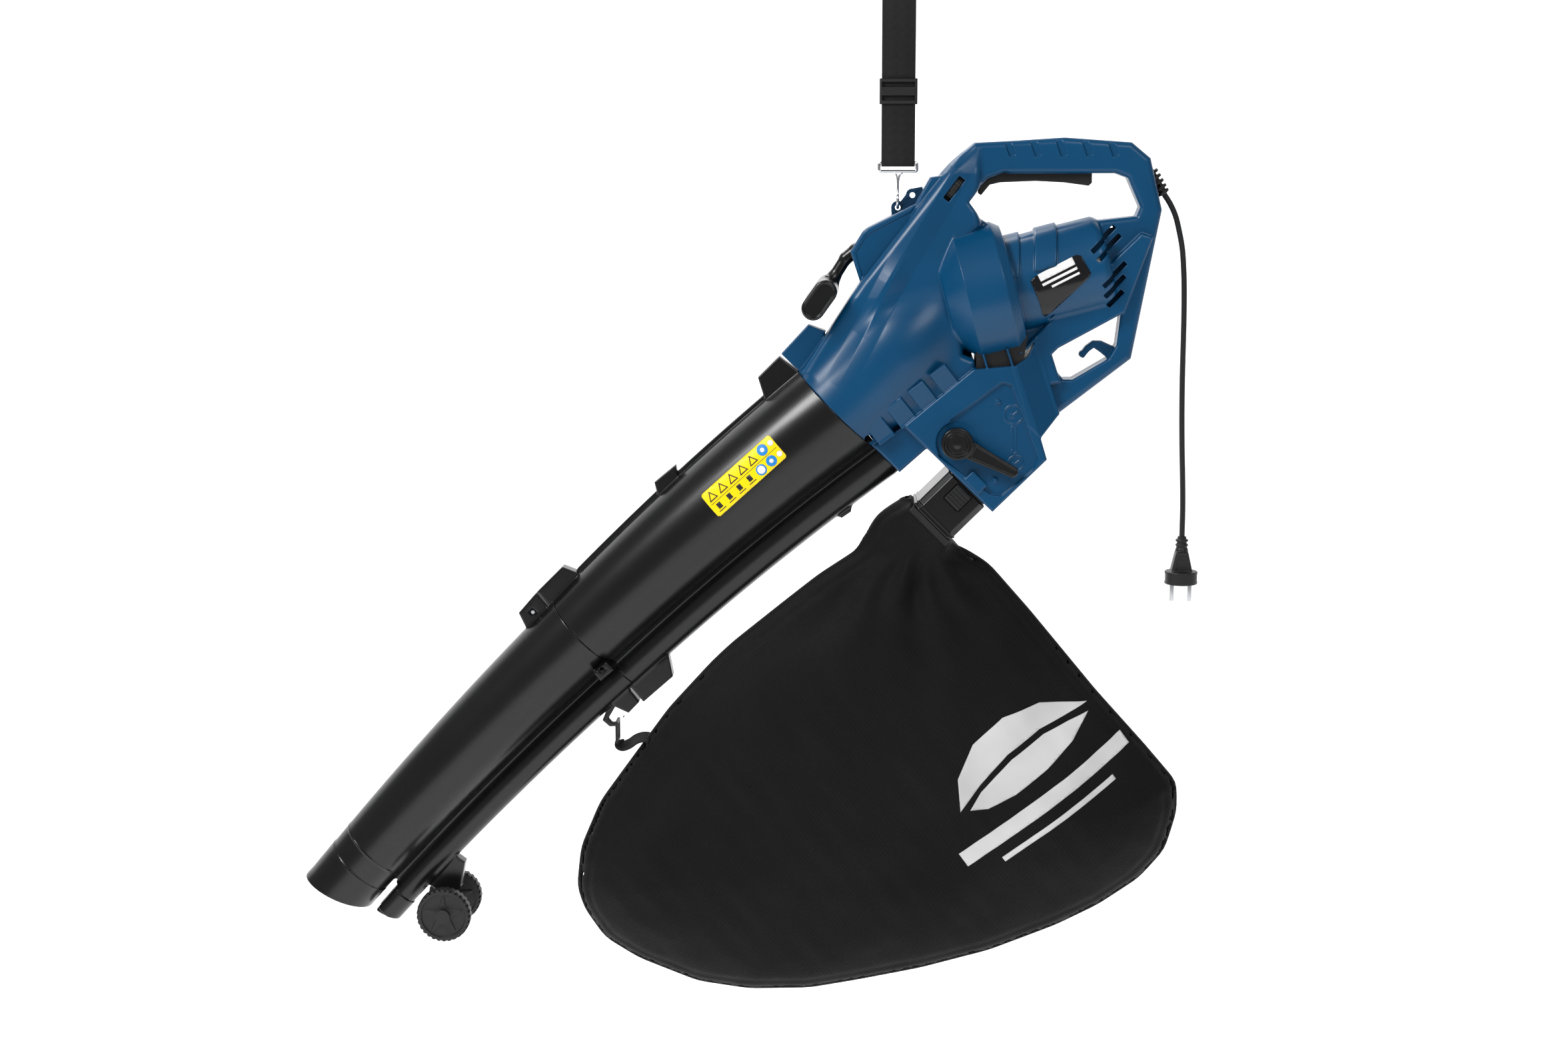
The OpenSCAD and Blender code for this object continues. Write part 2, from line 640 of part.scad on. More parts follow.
module safety_label() color([0.95, 0.8, 0.1]) intersection() {
    difference() {
        duct(duct_top, duct_mid, duct_r, duct_mid_r, 0.5);
        duct(duct_top, duct_mid, duct_r, duct_mid_r, 0, 1, 1);
    }
    slab(-90, 0) polygon([[-214, -581], [-140, -513], [-120, -535], [-193, -603]]);
}

// ---------------------------------------------------------------- wheels

module wheel_axle() color(steel) pivot(axle_mid, -wheel_track / 2 - wheel_w / 2 - 4)
    cylinder(h = wheel_track + wheel_w + 8, r = 4);

module axle_caps() color(black) for (side = [-1, 1])
    pivot(axle_mid, side < 0 ? -wheel_track / 2 - wheel_w / 2 - 5 : wheel_track / 2 + wheel_w / 2 + gap)
    difference() {
        cylinder(h = 5 - gap, r = 8);
        translate([0, 0, side < 0 ? 1 : -1]) cylinder(h = 5 - gap, r = 4);
    }

module wheel(y) color(black) pivot(axle_mid, y - wheel_w / 2) difference() {
    cylinder(h = wheel_w, r = wheel_r);
    translate([0, 0, -1]) cylinder(h = wheel_w + 2, r = 4 + fit);
    for (z = [-1, wheel_w - 2]) translate([0, 0, z]) difference() {
        cylinder(h = 3, r = wheel_r - 5);
        translate([0, 0, -1]) cylinder(h = 5, r = 10);
    }
}

module wheel_left() wheel(-wheel_track / 2);
module wheel_right() wheel(wheel_track / 2);

// ---------------------------------------------------------------- bag

module on_connector(z) along(connector_mid, connector_dir) translate([0, 0, z]) children();

module block(w, half, h) translate([-w / 2, -half, 0]) cube([w, 2 * half, h]);

module bag_connector() color(black) difference() {
    union() {
        on_connector(-14) block(connector_w - 6, connector_half - 3, 15);
        on_connector(0.4) block(connector_w, connector_half, connector_len);
    }
    on_connector(-20) block(connector_w - 11, connector_half - 5.5, connector_len + 40);
    pivot(latch_mid, -connector_half - 2) rotate(latch_turn) translate([-11, -11, 0]) cube([22, 22, 7]);
}

module latch_button() color(black) pivot(latch_mid, -connector_half - 2.5) rotate(latch_turn) {
    translate([-10.5, -10.5, 0]) cube([21, 21, 3.2]);
    for (i = [-2:2]) translate([-10.5, 4 * i - 1, -1]) cube([21, 2, 1.5]);
}

module latch_spring() color(steel) pivot(latch_mid, -connector_half + 4.1) difference() {
    cylinder(h = 0.9, r = 4);
    translate([0, 0, -1]) cylinder(h = 3, r = 3);
}

module bag_collar() color(black) on_connector(connector_len + 0.6) difference() {
    block(connector_w + 1, connector_half + 1, 7);
    translate([0, 0, -1]) block(connector_w - 11, connector_half - 5.5, 9);
}

// The bag: rings of one outline, shrinking towards its heart as they leave the middle plane
bag_rings = 5;
bag_cloth = 3;                   // modelled thickness of the cloth with its seams
function bag_ring(k, d) = let(a = 90 * k / bag_rings, y = (bag_half - d) * sin(a), s = 0.55 + 0.45 * cos(a))
    [for (p = inset(bag_outline, -d)) let(q = bag_heart + s * (p - bag_heart)) [q[0], y, q[1]]];

module bag_form(d) {
    n = len(bag_outline);
    rows = [for (k = [-bag_rings:bag_rings]) each bag_ring(k, d)];
    count = 2 * bag_rings + 1;
    sides = [for (i = [0:count - 2]) for (k = [0:n - 1])
        [i * n + k, i * n + (k + 1) % n, (i + 1) * n + (k + 1) % n, (i + 1) * n + k]];
    near = [[for (k = [0:n - 1]) n - 1 - k]];
    far = [[for (k = [0:n - 1]) (count - 1) * n + k]];
    polyhedron(points = rows, faces = concat(sides, near, far), convexity = 6);
}

module dust_bag() color(fabric) difference() {
    union() {
        bag_form(0);
        on_connector(connector_len + 8) block(connector_w, connector_half, 50);
    }
    bag_form(bag_cloth);
    on_connector(connector_len) block(connector_w - 2 * bag_cloth, connector_half - bag_cloth, 62);
}

// Loop at the bag's edge, and the ring that hangs it on the hook of the tube
module bag_tether() color(fabric) slab(-9, 9)
    polygon([[tether_x, -862], [-269.6, -853.6], [-267.8, -851], [tether_x, -859.3]]);

module tether_clip() color(black) across(tether_x - 1.5, tether_x + 1.5) difference() {
    translate([-12, -858]) square([24, 24.2]);
    translate([-9, -855]) square([18, 18.2]);
}

// ---------------------------------------------------------------- front handle

module handle_stem() color(black) {
    a = [stem_start[0] + 6, 0, stem_start[1] + 3];
    b = [stem_bend[0], 0, stem_bend[1]];
    c = [stem_end[0], 0, stem_end[1]];
    difference() {
        union() {
            bar(a, b, stem_r);
            translate(b) sphere(r = stem_r, $fn = 32);
            bar(b, c, stem_r);
        }
        pivot(stem_start, -20) cylinder(h = 40, r = 2);
    }
}

module handle_grip() color(black) {
    difference() {
        slab(-58, 58) union() {
            for (s = [-7.5, 7.5]) translate(step(grip_mid, grip_dir, s)) circle(r = 12);
            polygon([for (s = [[-7.5, -12], [7.5, -12], [7.5, 12], [-7.5, 12]])
                step(step(grip_mid, grip_dir, s[0]), grip_dir + 90, s[1])]);
        }
        handle_stem();
    }
}

module handle_screw() color(steel) pivot(stem_start, -15) cylinder(h = 30, r = 2);

// ---------------------------------------------------------------- nodes

strap_webbing();
strap_slider();
strap_hook();
strap_lug();
housing_left();
housing_right();
housing_screws();
fan_housing();
motor_stator();
brush_holders();
bearing_front();
bearing_rear();
motor_shaft();
armature();
commutator();
impeller();
impeller_nut();
main_switch();
capacitor();
speed_board();
speed_dial();
trigger();
trigger_pin();
changeover_lever();
lever_cap();
flap_shaft();
changeover_flap();
badge_plate();
cord_gland();
cord_clamp();
mains_cord();
plug_body();
plug_pins();
upper_tube();
lower_tube();
tube_screws();
safety_label();
wheel_axle();
axle_caps();
wheel_left();
wheel_right();
bag_connector();
latch_button();
latch_spring();
bag_collar();
dust_bag();
bag_tether();
tether_clip();
handle_stem();
handle_grip();
handle_screw();
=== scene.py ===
"""Leaf blower and garden vacuum: the looks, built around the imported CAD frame."""
import json
import math

import bmesh
import bpy
import numpy as np
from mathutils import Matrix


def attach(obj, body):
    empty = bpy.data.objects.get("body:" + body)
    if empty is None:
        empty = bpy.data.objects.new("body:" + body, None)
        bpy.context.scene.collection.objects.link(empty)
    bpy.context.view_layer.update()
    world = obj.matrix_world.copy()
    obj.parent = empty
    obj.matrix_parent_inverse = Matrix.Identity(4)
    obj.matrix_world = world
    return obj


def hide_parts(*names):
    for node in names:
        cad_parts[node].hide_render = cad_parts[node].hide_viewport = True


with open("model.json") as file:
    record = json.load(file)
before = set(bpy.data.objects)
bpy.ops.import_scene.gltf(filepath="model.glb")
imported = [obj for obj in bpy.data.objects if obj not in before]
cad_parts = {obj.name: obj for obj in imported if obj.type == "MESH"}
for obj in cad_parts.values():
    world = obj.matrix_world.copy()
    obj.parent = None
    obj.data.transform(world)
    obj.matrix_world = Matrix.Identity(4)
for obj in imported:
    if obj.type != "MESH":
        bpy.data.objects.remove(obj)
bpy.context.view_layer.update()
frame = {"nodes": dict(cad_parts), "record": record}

import openvdb
from mathutils.bvhtree import BVHTree
from mathutils import Vector

MM = 0.001
FINE = 0.8        # spacing of the moulded shapes' samples, mm
NODES = frame["nodes"]

# ------------------------------------------------------------------ camera and light

VIEW_UP, VIEW_TURN = math.radians(9), math.radians(2.5)
CAMERA_TARGET = Vector((-0.121, 0, -0.612))
CAMERA_DISTANCE = 2.601
CAMERA_LENS = 54.9


def add_camera():
    look = Vector((-math.sin(VIEW_TURN) * math.cos(VIEW_UP), math.cos(VIEW_TURN) * math.cos(VIEW_UP),
                   -math.sin(VIEW_UP)))
    data = bpy.data.cameras.new("camera")
    data.lens = CAMERA_LENS
    data.sensor_width = 36
    camera = bpy.data.objects.new("camera", data)
    camera.location = CAMERA_TARGET - look * CAMERA_DISTANCE
    camera.rotation_euler = look.to_track_quat("-Z", "Y").to_euler()
    bpy.context.scene.collection.objects.link(camera)
    bpy.context.scene.camera = camera


def add_light(name, place, size, power, target=(0, 0, -0.6)):
    data = bpy.data.lights.new(name, "AREA")
    data.size = size
    data.energy = power
    lamp = bpy.data.objects.new(name, data)
    lamp.location = place
    lamp.rotation_euler = (Vector(target) - Vector(place)).to_track_quat("-Z", "Y").to_euler()
    bpy.context.scene.collection.objects.link(lamp)


# ------------------------------------------------------------------ moulded shapes
# A moulded piece is a block of space sampled as signed distances in mm. Shapes are functions of
# the sample places, and are added and cut with a blend radius, as a mould maker would fillet them.


def soft_min(a, b, blend):
    if blend <= 0:
        return np.minimum(a, b)
    share = np.clip(0.5 + 0.5 * (b - a) / blend, 0, 1)
    return b + (a - b) * share - blend * share * (1 - share)


def rounded(a, b, radius):
    """Where two distances meet at an edge, the edge gets that radius."""
    if radius <= 0:
        return np.maximum(a, b)
    a, b = a + radius, b + radius
    return np.minimum(np.maximum(a, b), 0) + np.sqrt(np.maximum(a, 0) ** 2 + np.maximum(b, 0) ** 2) - radius


def outline_distance(points, x, z):
    """Signed distance in the XZ plane to a closed outline, negative inside."""
    nearest = np.full(np.broadcast(x, z).shape, 1e12, np.float32)
    inside = np.zeros(nearest.shape, bool)
    for (ax, az), (bx, bz) in zip(points, points[1:] + points[:1]):
        ex, ez = bx - ax, bz - az
        along = np.clip(((x - ax) * ex + (z - az) * ez) / (ex * ex + ez * ez), 0, 1)
        nearest = np.minimum(nearest, (x - ax - along * ex) ** 2 + (z - az - along * ez) ** 2)
        crosses = (az > z) != (bz > z)
        if ez != 0:
            inside ^= crosses & (x < (z - az) * ex / ez + ax)
    nearest = np.sqrt(nearest)
    return np.where(inside, -nearest, nearest).astype(np.float32)


def prism(points, half, edge=0.0, middle=0.0, corner=0.0):
    """An outline drawn in X and Z, with thickness 2*half along Y. half may be a function of x, z."""
    def distance(x, y, z):
        depth = half(x, z) if callable(half) else half
        return rounded(outline_distance(points, x, z) - corner, np.abs(y - middle) - depth, edge)
    return distance


def cone(p, q, r_p, r_q, edge=0.0, y=0.0):
    """A round bar from p to q in the plane at y, its radius changing evenly."""
    length = math.dist(p, q)
    ux, uz = (q[0] - p[0]) / length, (q[1] - p[1]) / length
    taper = (r_q - r_p) / length
    lean = 1 / math.sqrt(1 + taper * taper)

    def distance(x, yy, z):
        s = (x - p[0]) * ux + (z - p[1]) * uz
        n = (z - p[1]) * ux - (x - p[0]) * uz
        side = (np.sqrt(n * n + (yy - y) ** 2) - (r_p + taper * s)) * lean
        return rounded(side, np.maximum(-s, s - length), edge)
    return distance


def turned_form(p, angle, reach, radius):
    """A round form about an axis in the XZ plane; radius is a function of the way along it."""
    ux, uz = math.cos(math.radians(angle)), math.sin(math.radians(angle))

    def distance(x, y, z):
        s = (x - p[0]) * ux + (z - p[1]) * uz
        n = (z - p[1]) * ux - (x - p[0]) * uz
        side = (np.sqrt(n * n + y * y) - radius(s)) * 0.93
        return np.maximum(side, np.maximum(-s, s - reach))
    return distance


def disc(centre, y0, y1, radius, edge=0.0):
    """A round bar along Y."""
    def distance(x, y, z):
        side = np.hypot(x - centre[0], z - centre[1]) - radius
        return rounded(side, np.abs(y - (y0 + y1) / 2) - (y1 - y0) / 2, edge)
    return distance


def capsule(a, b, radius):
    """A round-ended bar between two points in space."""
    a, b = np.array(a, float), np.array(b, float)
    e = b - a

    def distance(x, y, z):
        along = np.clip(((x - a[0]) * e[0] + (y - a[1]) * e[1] + (z - a[2]) * e[2]) / (e @ e), 0, 1)
        return np.sqrt((x - a[0] - along * e[0]) ** 2 + (y - a[1] - along * e[1]) ** 2
                       + (z - a[2] - along * e[2]) ** 2) - radius
    return distance


def pill(p, q, radius, y0, y1, edge=0.0):
    """A plate with round ends between two points of the XZ plane."""
    ex, ez = q[0] - p[0], q[1] - p[1]
    size = ex * ex + ez * ez

    def distance(x, y, z):
        along = np.clip(((x - p[0]) * ex + (z - p[1]) * ez) / size, 0, 1)
        side = np.hypot(x - p[0] - along * ex, z - p[1] - along * ez) - radius
        return rounded(side, np.abs(y - (y0 + y1) / 2) - (y1 - y0) / 2, edge)
    return distance


def step(p, angle, s):
    return (p[0] + s * math.cos(math.radians(angle)), p[1] + s * math.sin(math.radians(angle)))


def oblong(p, angle, length, width):
    """The outline of a bar of that length and width, starting at p."""
    ends = (step(p, angle + 90, width / 2), step(p, angle - 90, width / 2))
    return [ends[0], ends[1], step(ends[1], angle, length), step(ends[0], angle, length)]


SHELL_MIDDLE = 1.4                       # half the bag's wall, mm


class Block:
    """A block of sampled space. Its own axes may be turned about Y to follow a tube."""

    def __init__(self, low, high, spacing, turn=0.0, origin=(0, 0)):
        self.spacing = spacing
        axes = [np.arange(a, b + spacing, spacing, dtype=np.float32) for a, b in zip(low, high)]
        self.low = [float(a[0]) for a in axes]
        self.turn = math.radians(turn)
        self.origin = origin
        x, z = axes[0][:, None, None], axes[2][None, None, :]
        c, s = math.cos(self.turn), math.sin(self.turn)
        self.x = (origin[0] + c * x - s * z).astype(np.float32)
        self.z = (origin[1] + s * x + c * z).astype(np.float32)
        self.y = axes[1][None, :, None]
        self.d = np.full([len(a) for a in axes], 60, np.float32)
        self.skin = None                 # a thin shell's solid form, where its shading comes from that

    def window(self, box):
        """Slices of the samples inside x0, x1, z0, z1. Only for a block that isn't turned."""
        if box is None or self.turn:
            return slice(None), slice(None)
        x = [int((v - self.low[0]) / self.spacing) for v in box[:2]]
        z = [int((v - self.low[2]) / self.spacing) for v in box[2:]]
        return slice(max(x[0], 0), max(x[1] + 2, 0)), slice(max(z[0], 0), max(z[1] + 2, 0))

    def change(self, shape, rule, box):
        i, k = self.window(box)
        x = self.x[i] if self.turn else self.x[i][:, :, 0:1]
        z = self.z[:, :, k] if self.turn else self.z[0:1, :, k]
        self.d[i, :, k] = rule(self.d[i, :, k], shape(x, self.y, z))

    def add(self, shape, blend=0.0, box=None):
        self.change(shape, lambda a, b: soft_min(a, b, blend), box)

    def cut(self, shape, blend=0.0, box=None):
        self.change(shape, lambda a, b: -soft_min(-a, b, blend), box)

    def keep(self, shape, box=None):
        self.change(shape, np.maximum, box)

    def bow(self, p, q, height):
        """Bends what is added afterwards outwards, by height at the middle of the line from p to q."""
        self.straight = self.x, self.z
        length = math.dist(p, q)
        c, s = (q[0] - p[0]) / length, (q[1] - p[1]) / length
        t = np.clip(((self.x - p[0]) * c + (self.z - p[1]) * s) / length, 0, 1)
        rise = (4 * height * t * (1 - t)).astype(np.float32)
        self.bowed = self.x - rise * s, self.z + rise * c
        self.x, self.z = self.bowed

    def mesh(self, name, share=1.0):
        grid = openvdb.FloatGrid()
        grid.copyFromArray(self.d)
        points, quads = grid.convertToQuads(isovalue=0.0)
        local = points * self.spacing + np.array(self.low)
        c, s = math.cos(self.turn), math.sin(self.turn)
        world = np.stack([self.origin[0] + c * local[:, 0] - s * local[:, 2], local[:, 1],
                          self.origin[1] + s * local[:, 0] + c * local[:, 2]], 1) * MM
        data = bpy.data.meshes.new(name)
        data.vertices.add(len(world))
        data.vertices.foreach_set("co", world.astype(np.float32).ravel())
        data.loops.add(len(quads) * 4)
        data.loops.foreach_set("vertex_index", quads.ravel().astype(np.int32))
        data.polygons.add(len(quads))
        data.polygons.foreach_set("loop_start", np.arange(0, len(quads) * 4, 4, dtype=np.int32))
        data.polygons.foreach_set("use_smooth", np.ones(len(quads), bool))
        data.update(calc_edges=True)
        data.validate()
        piece = bpy.data.objects.new(name, data)
        bpy.context.scene.collection.objects.link(piece)
        if share < 1:
            thin = piece.modifiers.new("thin", "DECIMATE")
            thin.ratio = share
            apply_modifiers(piece)
        self.shade(piece.data)
        return piece

    def sample(self, field, places):
        """Distances at any places, given in steps of the block."""
        top = np.array(field.shape) - 1.001
        places = np.clip(places, 0, top)
        base = places.astype(np.int32)
        part = places - base
        total = np.zeros(len(places))
        for corner in np.ndindex(2, 2, 2):
            weight = np.prod(np.where(corner, part, 1 - part), axis=1)
            i, j, k = (base + np.array(corner)).T
            total += weight * field[i, j, k]
        return total

    def shade(self, data):
        """Gives the mesh the shape's own normals, so that gloss runs over it evenly."""
        places = np.empty(len(data.vertices) * 3, np.float32)
        data.vertices.foreach_get("co", places)
        places = places.reshape(-1, 3) / MM
        x, z = places[:, 0] - self.origin[0], places[:, 2] - self.origin[1]
        c, s = math.cos(self.turn), math.sin(self.turn)
        local = np.stack([c * x + s * z, places[:, 1], c * z - s * x], 1)
        local = (local - np.array(self.low)) / self.spacing
        field = self.d if self.skin is None else self.skin
        slope = np.stack([self.sample(field, local + shift) - self.sample(field, local - shift)
                          for shift in np.eye(3) * 0.8], 1)
        if self.skin is not None:
            slope[self.sample(field, local) < -SHELL_MIDDLE] *= -1
        slope /= np.maximum(np.linalg.norm(slope, axis=1, keepdims=True), 1e-6)
        world = np.stack([c * slope[:, 0] - s * slope[:, 2], slope[:, 1],
                          s * slope[:, 0] + c * slope[:, 2]], 1)
        data.normals_split_custom_set_from_vertices([tuple(n) for n in world])


def apply_modifiers(piece):
    bpy.context.view_layer.update()
    done = bpy.data.meshes.new_from_object(piece.evaluated_get(bpy.context.evaluated_depsgraph_get()))
    piece.modifiers.clear()
    old = piece.data
    piece.data = done
    bpy.data.meshes.remove(old)


# ------------------------------------------------------------------ materials
# Each material has its own function: base colour, then the detail that its surface shows.


def new_material(name, colour, roughness, metallic=0.0, coat=0.0, specular=0.5, sheen=0.0):
    material = bpy.data.materials.new(name)
    material.use_nodes = True
    shader = material.node_tree.nodes["Principled BSDF"]
    shader.inputs["Base Color"].default_value = (*colour, 1)
    shader.inputs["Roughness"].default_value = roughness
    shader.inputs["Metallic"].default_value = metallic
    shader.inputs["Coat Weight"].default_value = coat
    shader.inputs["Coat Roughness"].default_value = 0.15
    shader.inputs["Specular IOR Level"].default_value = specular
    shader.inputs["Sheen Weight"].default_value = sheen
    return material, material.node_tree, shader


def link(tree, source, output, target, socket):
    tree.links.new(source.outputs[output], target.inputs[socket])


def coordinates(tree, scale=(1, 1, 1), turn=(0, 0, 0)):
    place = tree.nodes.new("ShaderNodeTexCoord")
    mapping = tree.nodes.new("ShaderNodeMapping")
    mapping.inputs["Scale"].default_value = scale
    mapping.inputs["Rotation"].default_value = turn
    link(tree, place, "Object", mapping, "Vector")
    return mapping


def noise_node(tree, mapping, scale, detail=3.0):
    node = tree.nodes.new("ShaderNodeTexNoise")
    node.inputs["Scale"].default_value = scale
    node.inputs["Detail"].default_value = detail
    link(tree, mapping, "Vector", node, "Vector")
    return node


def mix_colours(tree, shader, factor, output, dark, light, low=0.3, high=0.7):
    ramp = tree.nodes.new("ShaderNodeValToRGB")
    ramp.color_ramp.elements[0].position = low
    ramp.color_ramp.elements[1].position = high
    ramp.color_ramp.elements[0].color = (*dark, 1)
    ramp.color_ramp.elements[1].color = (*light, 1)
    link(tree, factor, output, ramp, "Fac")
    link(tree, ramp, "Color", shader, "Base Color")
    return ramp


def spread(tree, shader, factor, output, socket, low, high):
    """Drives a socket between two values from a texture."""
    node = tree.nodes.new("ShaderNodeMapRange")
    node.inputs["To Min"].default_value = low
    node.inputs["To Max"].default_value = high
    link(tree, factor, output, node, "Value")
    link(tree, node, "Result", shader, socket)


def bump(tree, shader, height, output, strength, distance):
    node = tree.nodes.new("ShaderNodeBump")
    node.inputs["Strength"].default_value = strength
    node.inputs["Distance"].default_value = distance
    link(tree, height, output, node, "Height")
    link(tree, node, "Normal", shader, "Normal")
    return node


GLOSS_DRIFT = 0.03      # how far a moulding's roughness wanders
CLOTH_DRIFT = 0.08      # how far a cloth's roughness wanders


def moulded_plastic(name, dark, light, roughness, grain=0.25, coat=0.0, specular=0.3):
    """Moulded plastic: fine spark-eroded grain, slow drift of tone and uneven gloss."""
    material, tree, shader = new_material(name, light, roughness, coat=coat, specular=specular)
    place = coordinates(tree)
    drift = noise_node(tree, place, 9.0)
    mix_colours(tree, shader, drift, "Fac", dark, light)
    gloss = noise_node(tree, place, 14.0)
    spread(tree, shader, gloss, "Fac", "Roughness", roughness - GLOSS_DRIFT, roughness + GLOSS_DRIFT)
    bump(tree, shader, noise_node(tree, place, 1800.0, 1.0), "Fac", grain, 0.0001)
    return material


def blue_plastic():
    dark, light = (0.0003, 0.041, 0.106), (0.0007, 0.050, 0.126)
    return moulded_plastic("blue_moulded", dark, light, 0.32, 0.2, coat=0.06, specular=0.24)


def dark_blue_plastic():
    return moulded_plastic("dark_blue_moulded", (0.0003, 0.024, 0.060), (0.0005, 0.030, 0.072), 0.4, 0.2)


def black_plastic():
    return moulded_plastic("black_moulded", (0.003, 0.003, 0.0033), (0.0045, 0.0045, 0.005), 0.27, 0.1, 0.1)


def black_matt():
    return moulded_plastic("black_grained", (0.006, 0.006, 0.0065), (0.009, 0.009, 0.0095), 0.5, 0.45)


def bright_metal(name, colour, roughness, streak=0.04):
    material, tree, shader = new_material(name, colour, roughness, metallic=1.0)
    place = coordinates(tree, (1, 1, 12))
    spread(tree, shader, noise_node(tree, place, 90.0), "Fac", "Roughness", roughness, roughness + streak)
    return material

def wheel_plastic():
    return moulded_plastic("wheel_moulded", (0.010, 0.010, 0.010), (0.014, 0.014, 0.015), 0.48, 0.4)


def cord_rubber():
    return moulded_plastic("cord_rubber", (0.008, 0.008, 0.009), (0.012, 0.012, 0.013), 0.42, 0.15)


def weave(name, dark, light, roughness, across, along, depth, sheen=0.15, turn=0.0):
    """Woven cloth: two crossing sets of threads, spacing in threads per metre."""
    material, tree, shader = new_material(name, light, roughness, sheen=sheen, specular=0.1)
    place = coordinates(tree, turn=(0, turn, 0))
    waves = []
    for direction, rate in (("X", across), ("Z", along)):
        node = tree.nodes.new("ShaderNodeTexWave")
        node.bands_direction = direction
        node.inputs["Scale"].default_value = rate / 20
        node.inputs["Distortion"].default_value = 0.6
        node.inputs["Detail Scale"].default_value = 4.0
        link(tree, place, "Vector", node, "Vector")
        waves.append(node)
    threads = tree.nodes.new("ShaderNodeMath")
    threads.operation = "MULTIPLY"
    link(tree, waves[0], "Fac", threads, 0)
    link(tree, waves[1], "Fac", threads, 1)
    fuzz = noise_node(tree, place, 7.0)
    mix_colours(tree, shader, fuzz, "Fac", dark, light)
    bump(tree, shader, threads, "Value", depth, 0.0006)
    wear = noise_node(tree, place, 300.0)
    spread(tree, shader, wear, "Fac", "Roughness", roughness - CLOTH_DRIFT, roughness + CLOTH_DRIFT)
    return material


def black_webbing():
    return weave("coarse_webbing", (0.008, 0.008, 0.008), (0.014, 0.014, 0.014), 0.72, 520, 640, 0.9, 0.05)


def bag_cloth():
    dark, light = (0.003, 0.003, 0.003), (0.0048, 0.0048, 0.0048)
    return weave("bag_weave", dark, light, 0.66, 1700, 1700, 0.35, 0.02, 0.6)


def bag_trim():
    return weave("bag_binding", (0.006, 0.006, 0.006), (0.010, 0.010, 0.010), 0.78, 900, 900, 0.5)


def chrome():
    return bright_metal("bright_chrome", (0.72, 0.73, 0.75), 0.08)


def steel():
    return bright_metal("turned_steel", (0.55, 0.56, 0.58), 0.3, 0.12)


def copper():
    return bright_metal("wound_copper", (0.55, 0.28, 0.14), 0.32, 0.15)


def brass():
    return bright_metal("plated_brass", (0.62, 0.46, 0.22), 0.28, 0.12)


def lamination():
    """Stacked sheet iron: thin dark lines between the plates."""
    material, tree, shader = new_material("stacked_iron", (0.35, 0.36, 0.38), 0.45, metallic=1.0)
    node = tree.nodes.new("ShaderNodeTexWave")
    node.inputs["Scale"].default_value = 50
    link(tree, coordinates(tree, turn=(0, math.radians(TILT), 0)), "Vector", node, "Vector")
    mix_colours(tree, shader, node, "Fac", (0.12, 0.12, 0.13), (0.36, 0.37, 0.39), 0.1, 0.4)
    return material


def badge_gloss():
    return moulded_plastic("badge_gloss", (0.004, 0.004, 0.005), (0.006, 0.006, 0.007), 0.18, 0.05)


def label_film():
    return moulded_plastic("label_print", (0.80, 0.56, 0.0), (0.86, 0.62, 0.004), 0.32, 0.08)


def printed_ink(name, dark, light, roughness=0.4):
    return moulded_plastic(name, dark, light, roughness, 0.3)


def painted(name, dark, light, roughness):
    return moulded_plastic(name, dark, light, roughness, 0.1)


def dress_nodes(blue, black, matt, rubber):
    """Every CAD node gets its slot's finish; those listed in SHARP_NODES also get softened edges."""
    finishes = {
        "blue_plastic": blue, "dark_blue_plastic": dark_blue_plastic(), "black_plastic": black,
        "black_matt": matt, "wheel_plastic": wheel_plastic(), "cord_rubber": rubber, "chrome": chrome(),
        "steel": steel(), "lamination": lamination(), "copper": copper(), "brass": brass(),
        "webbing": black_webbing(), "bag_cloth": bag_cloth(),
        "board": painted("printed_board", (0.02, 0.11, 0.06), (0.03, 0.15, 0.08), 0.4),
        "film": painted("film_wrap", (0.5, 0.36, 0.07), (0.58, 0.44, 0.1), 0.35),
        "label_yellow": bpy.data.materials["label_print"], "badge_black": bpy.data.materials["badge_gloss"]}
    slots = {part["node"]: part["material_slot"] for part in frame["record"]["subparts"]}
    for name, node in NODES.items():
        for i in range(len(node.material_slots)):
            node.material_slots[i].material = finishes[slots[name]]
        if not node.material_slots:
            node.data.materials.append(finishes[slots[name]])
        if name in SHARP_NODES:
            soften(node, SHARP_NODES[name])


SHARP_NODES = {"strap_lug": 0.6, "bag_collar": 1.2, "tether_clip": 0.7, "axle_caps": 0.6, "plug_pins": 0.9,
               "speed_dial": 0.5, "housing_screws": 0.4, "tube_screws": 0.4, "changeover_flap": 0.5,
               "main_switch": 0.5, "capacitor": 0.8, "badge_plate": 0.2, "impeller": 0.4}


def soften(node, width):
    """Welds the node's triangles together and rounds its sharp edges."""
    weld = node.modifiers.new("weld", "WELD")
    weld.merge_threshold = 0.00002
    bevel = node.modifiers.new("bevel", "BEVEL")
    bevel.width = width * MM
    bevel.segments = 3
    bevel.limit_method = "ANGLE"
    bevel.angle_limit = math.radians(40)
    bevel.harden_normals = False


# ------------------------------------------------------------------ housing

DRUM = (99, -360.5)
TILT = 14.4
SEAM = (-62, -488)                       # suction duct at the housing's seam
SEAM_ANGLE = 225.5
BLOW_SEAM = (-12, -537)
SPLIT = 0.12                             # half the parting gap between the shells, mm
WALL = 2.6
LEVER = (64.5, -518)
LEVER_ANGLE = -26.4

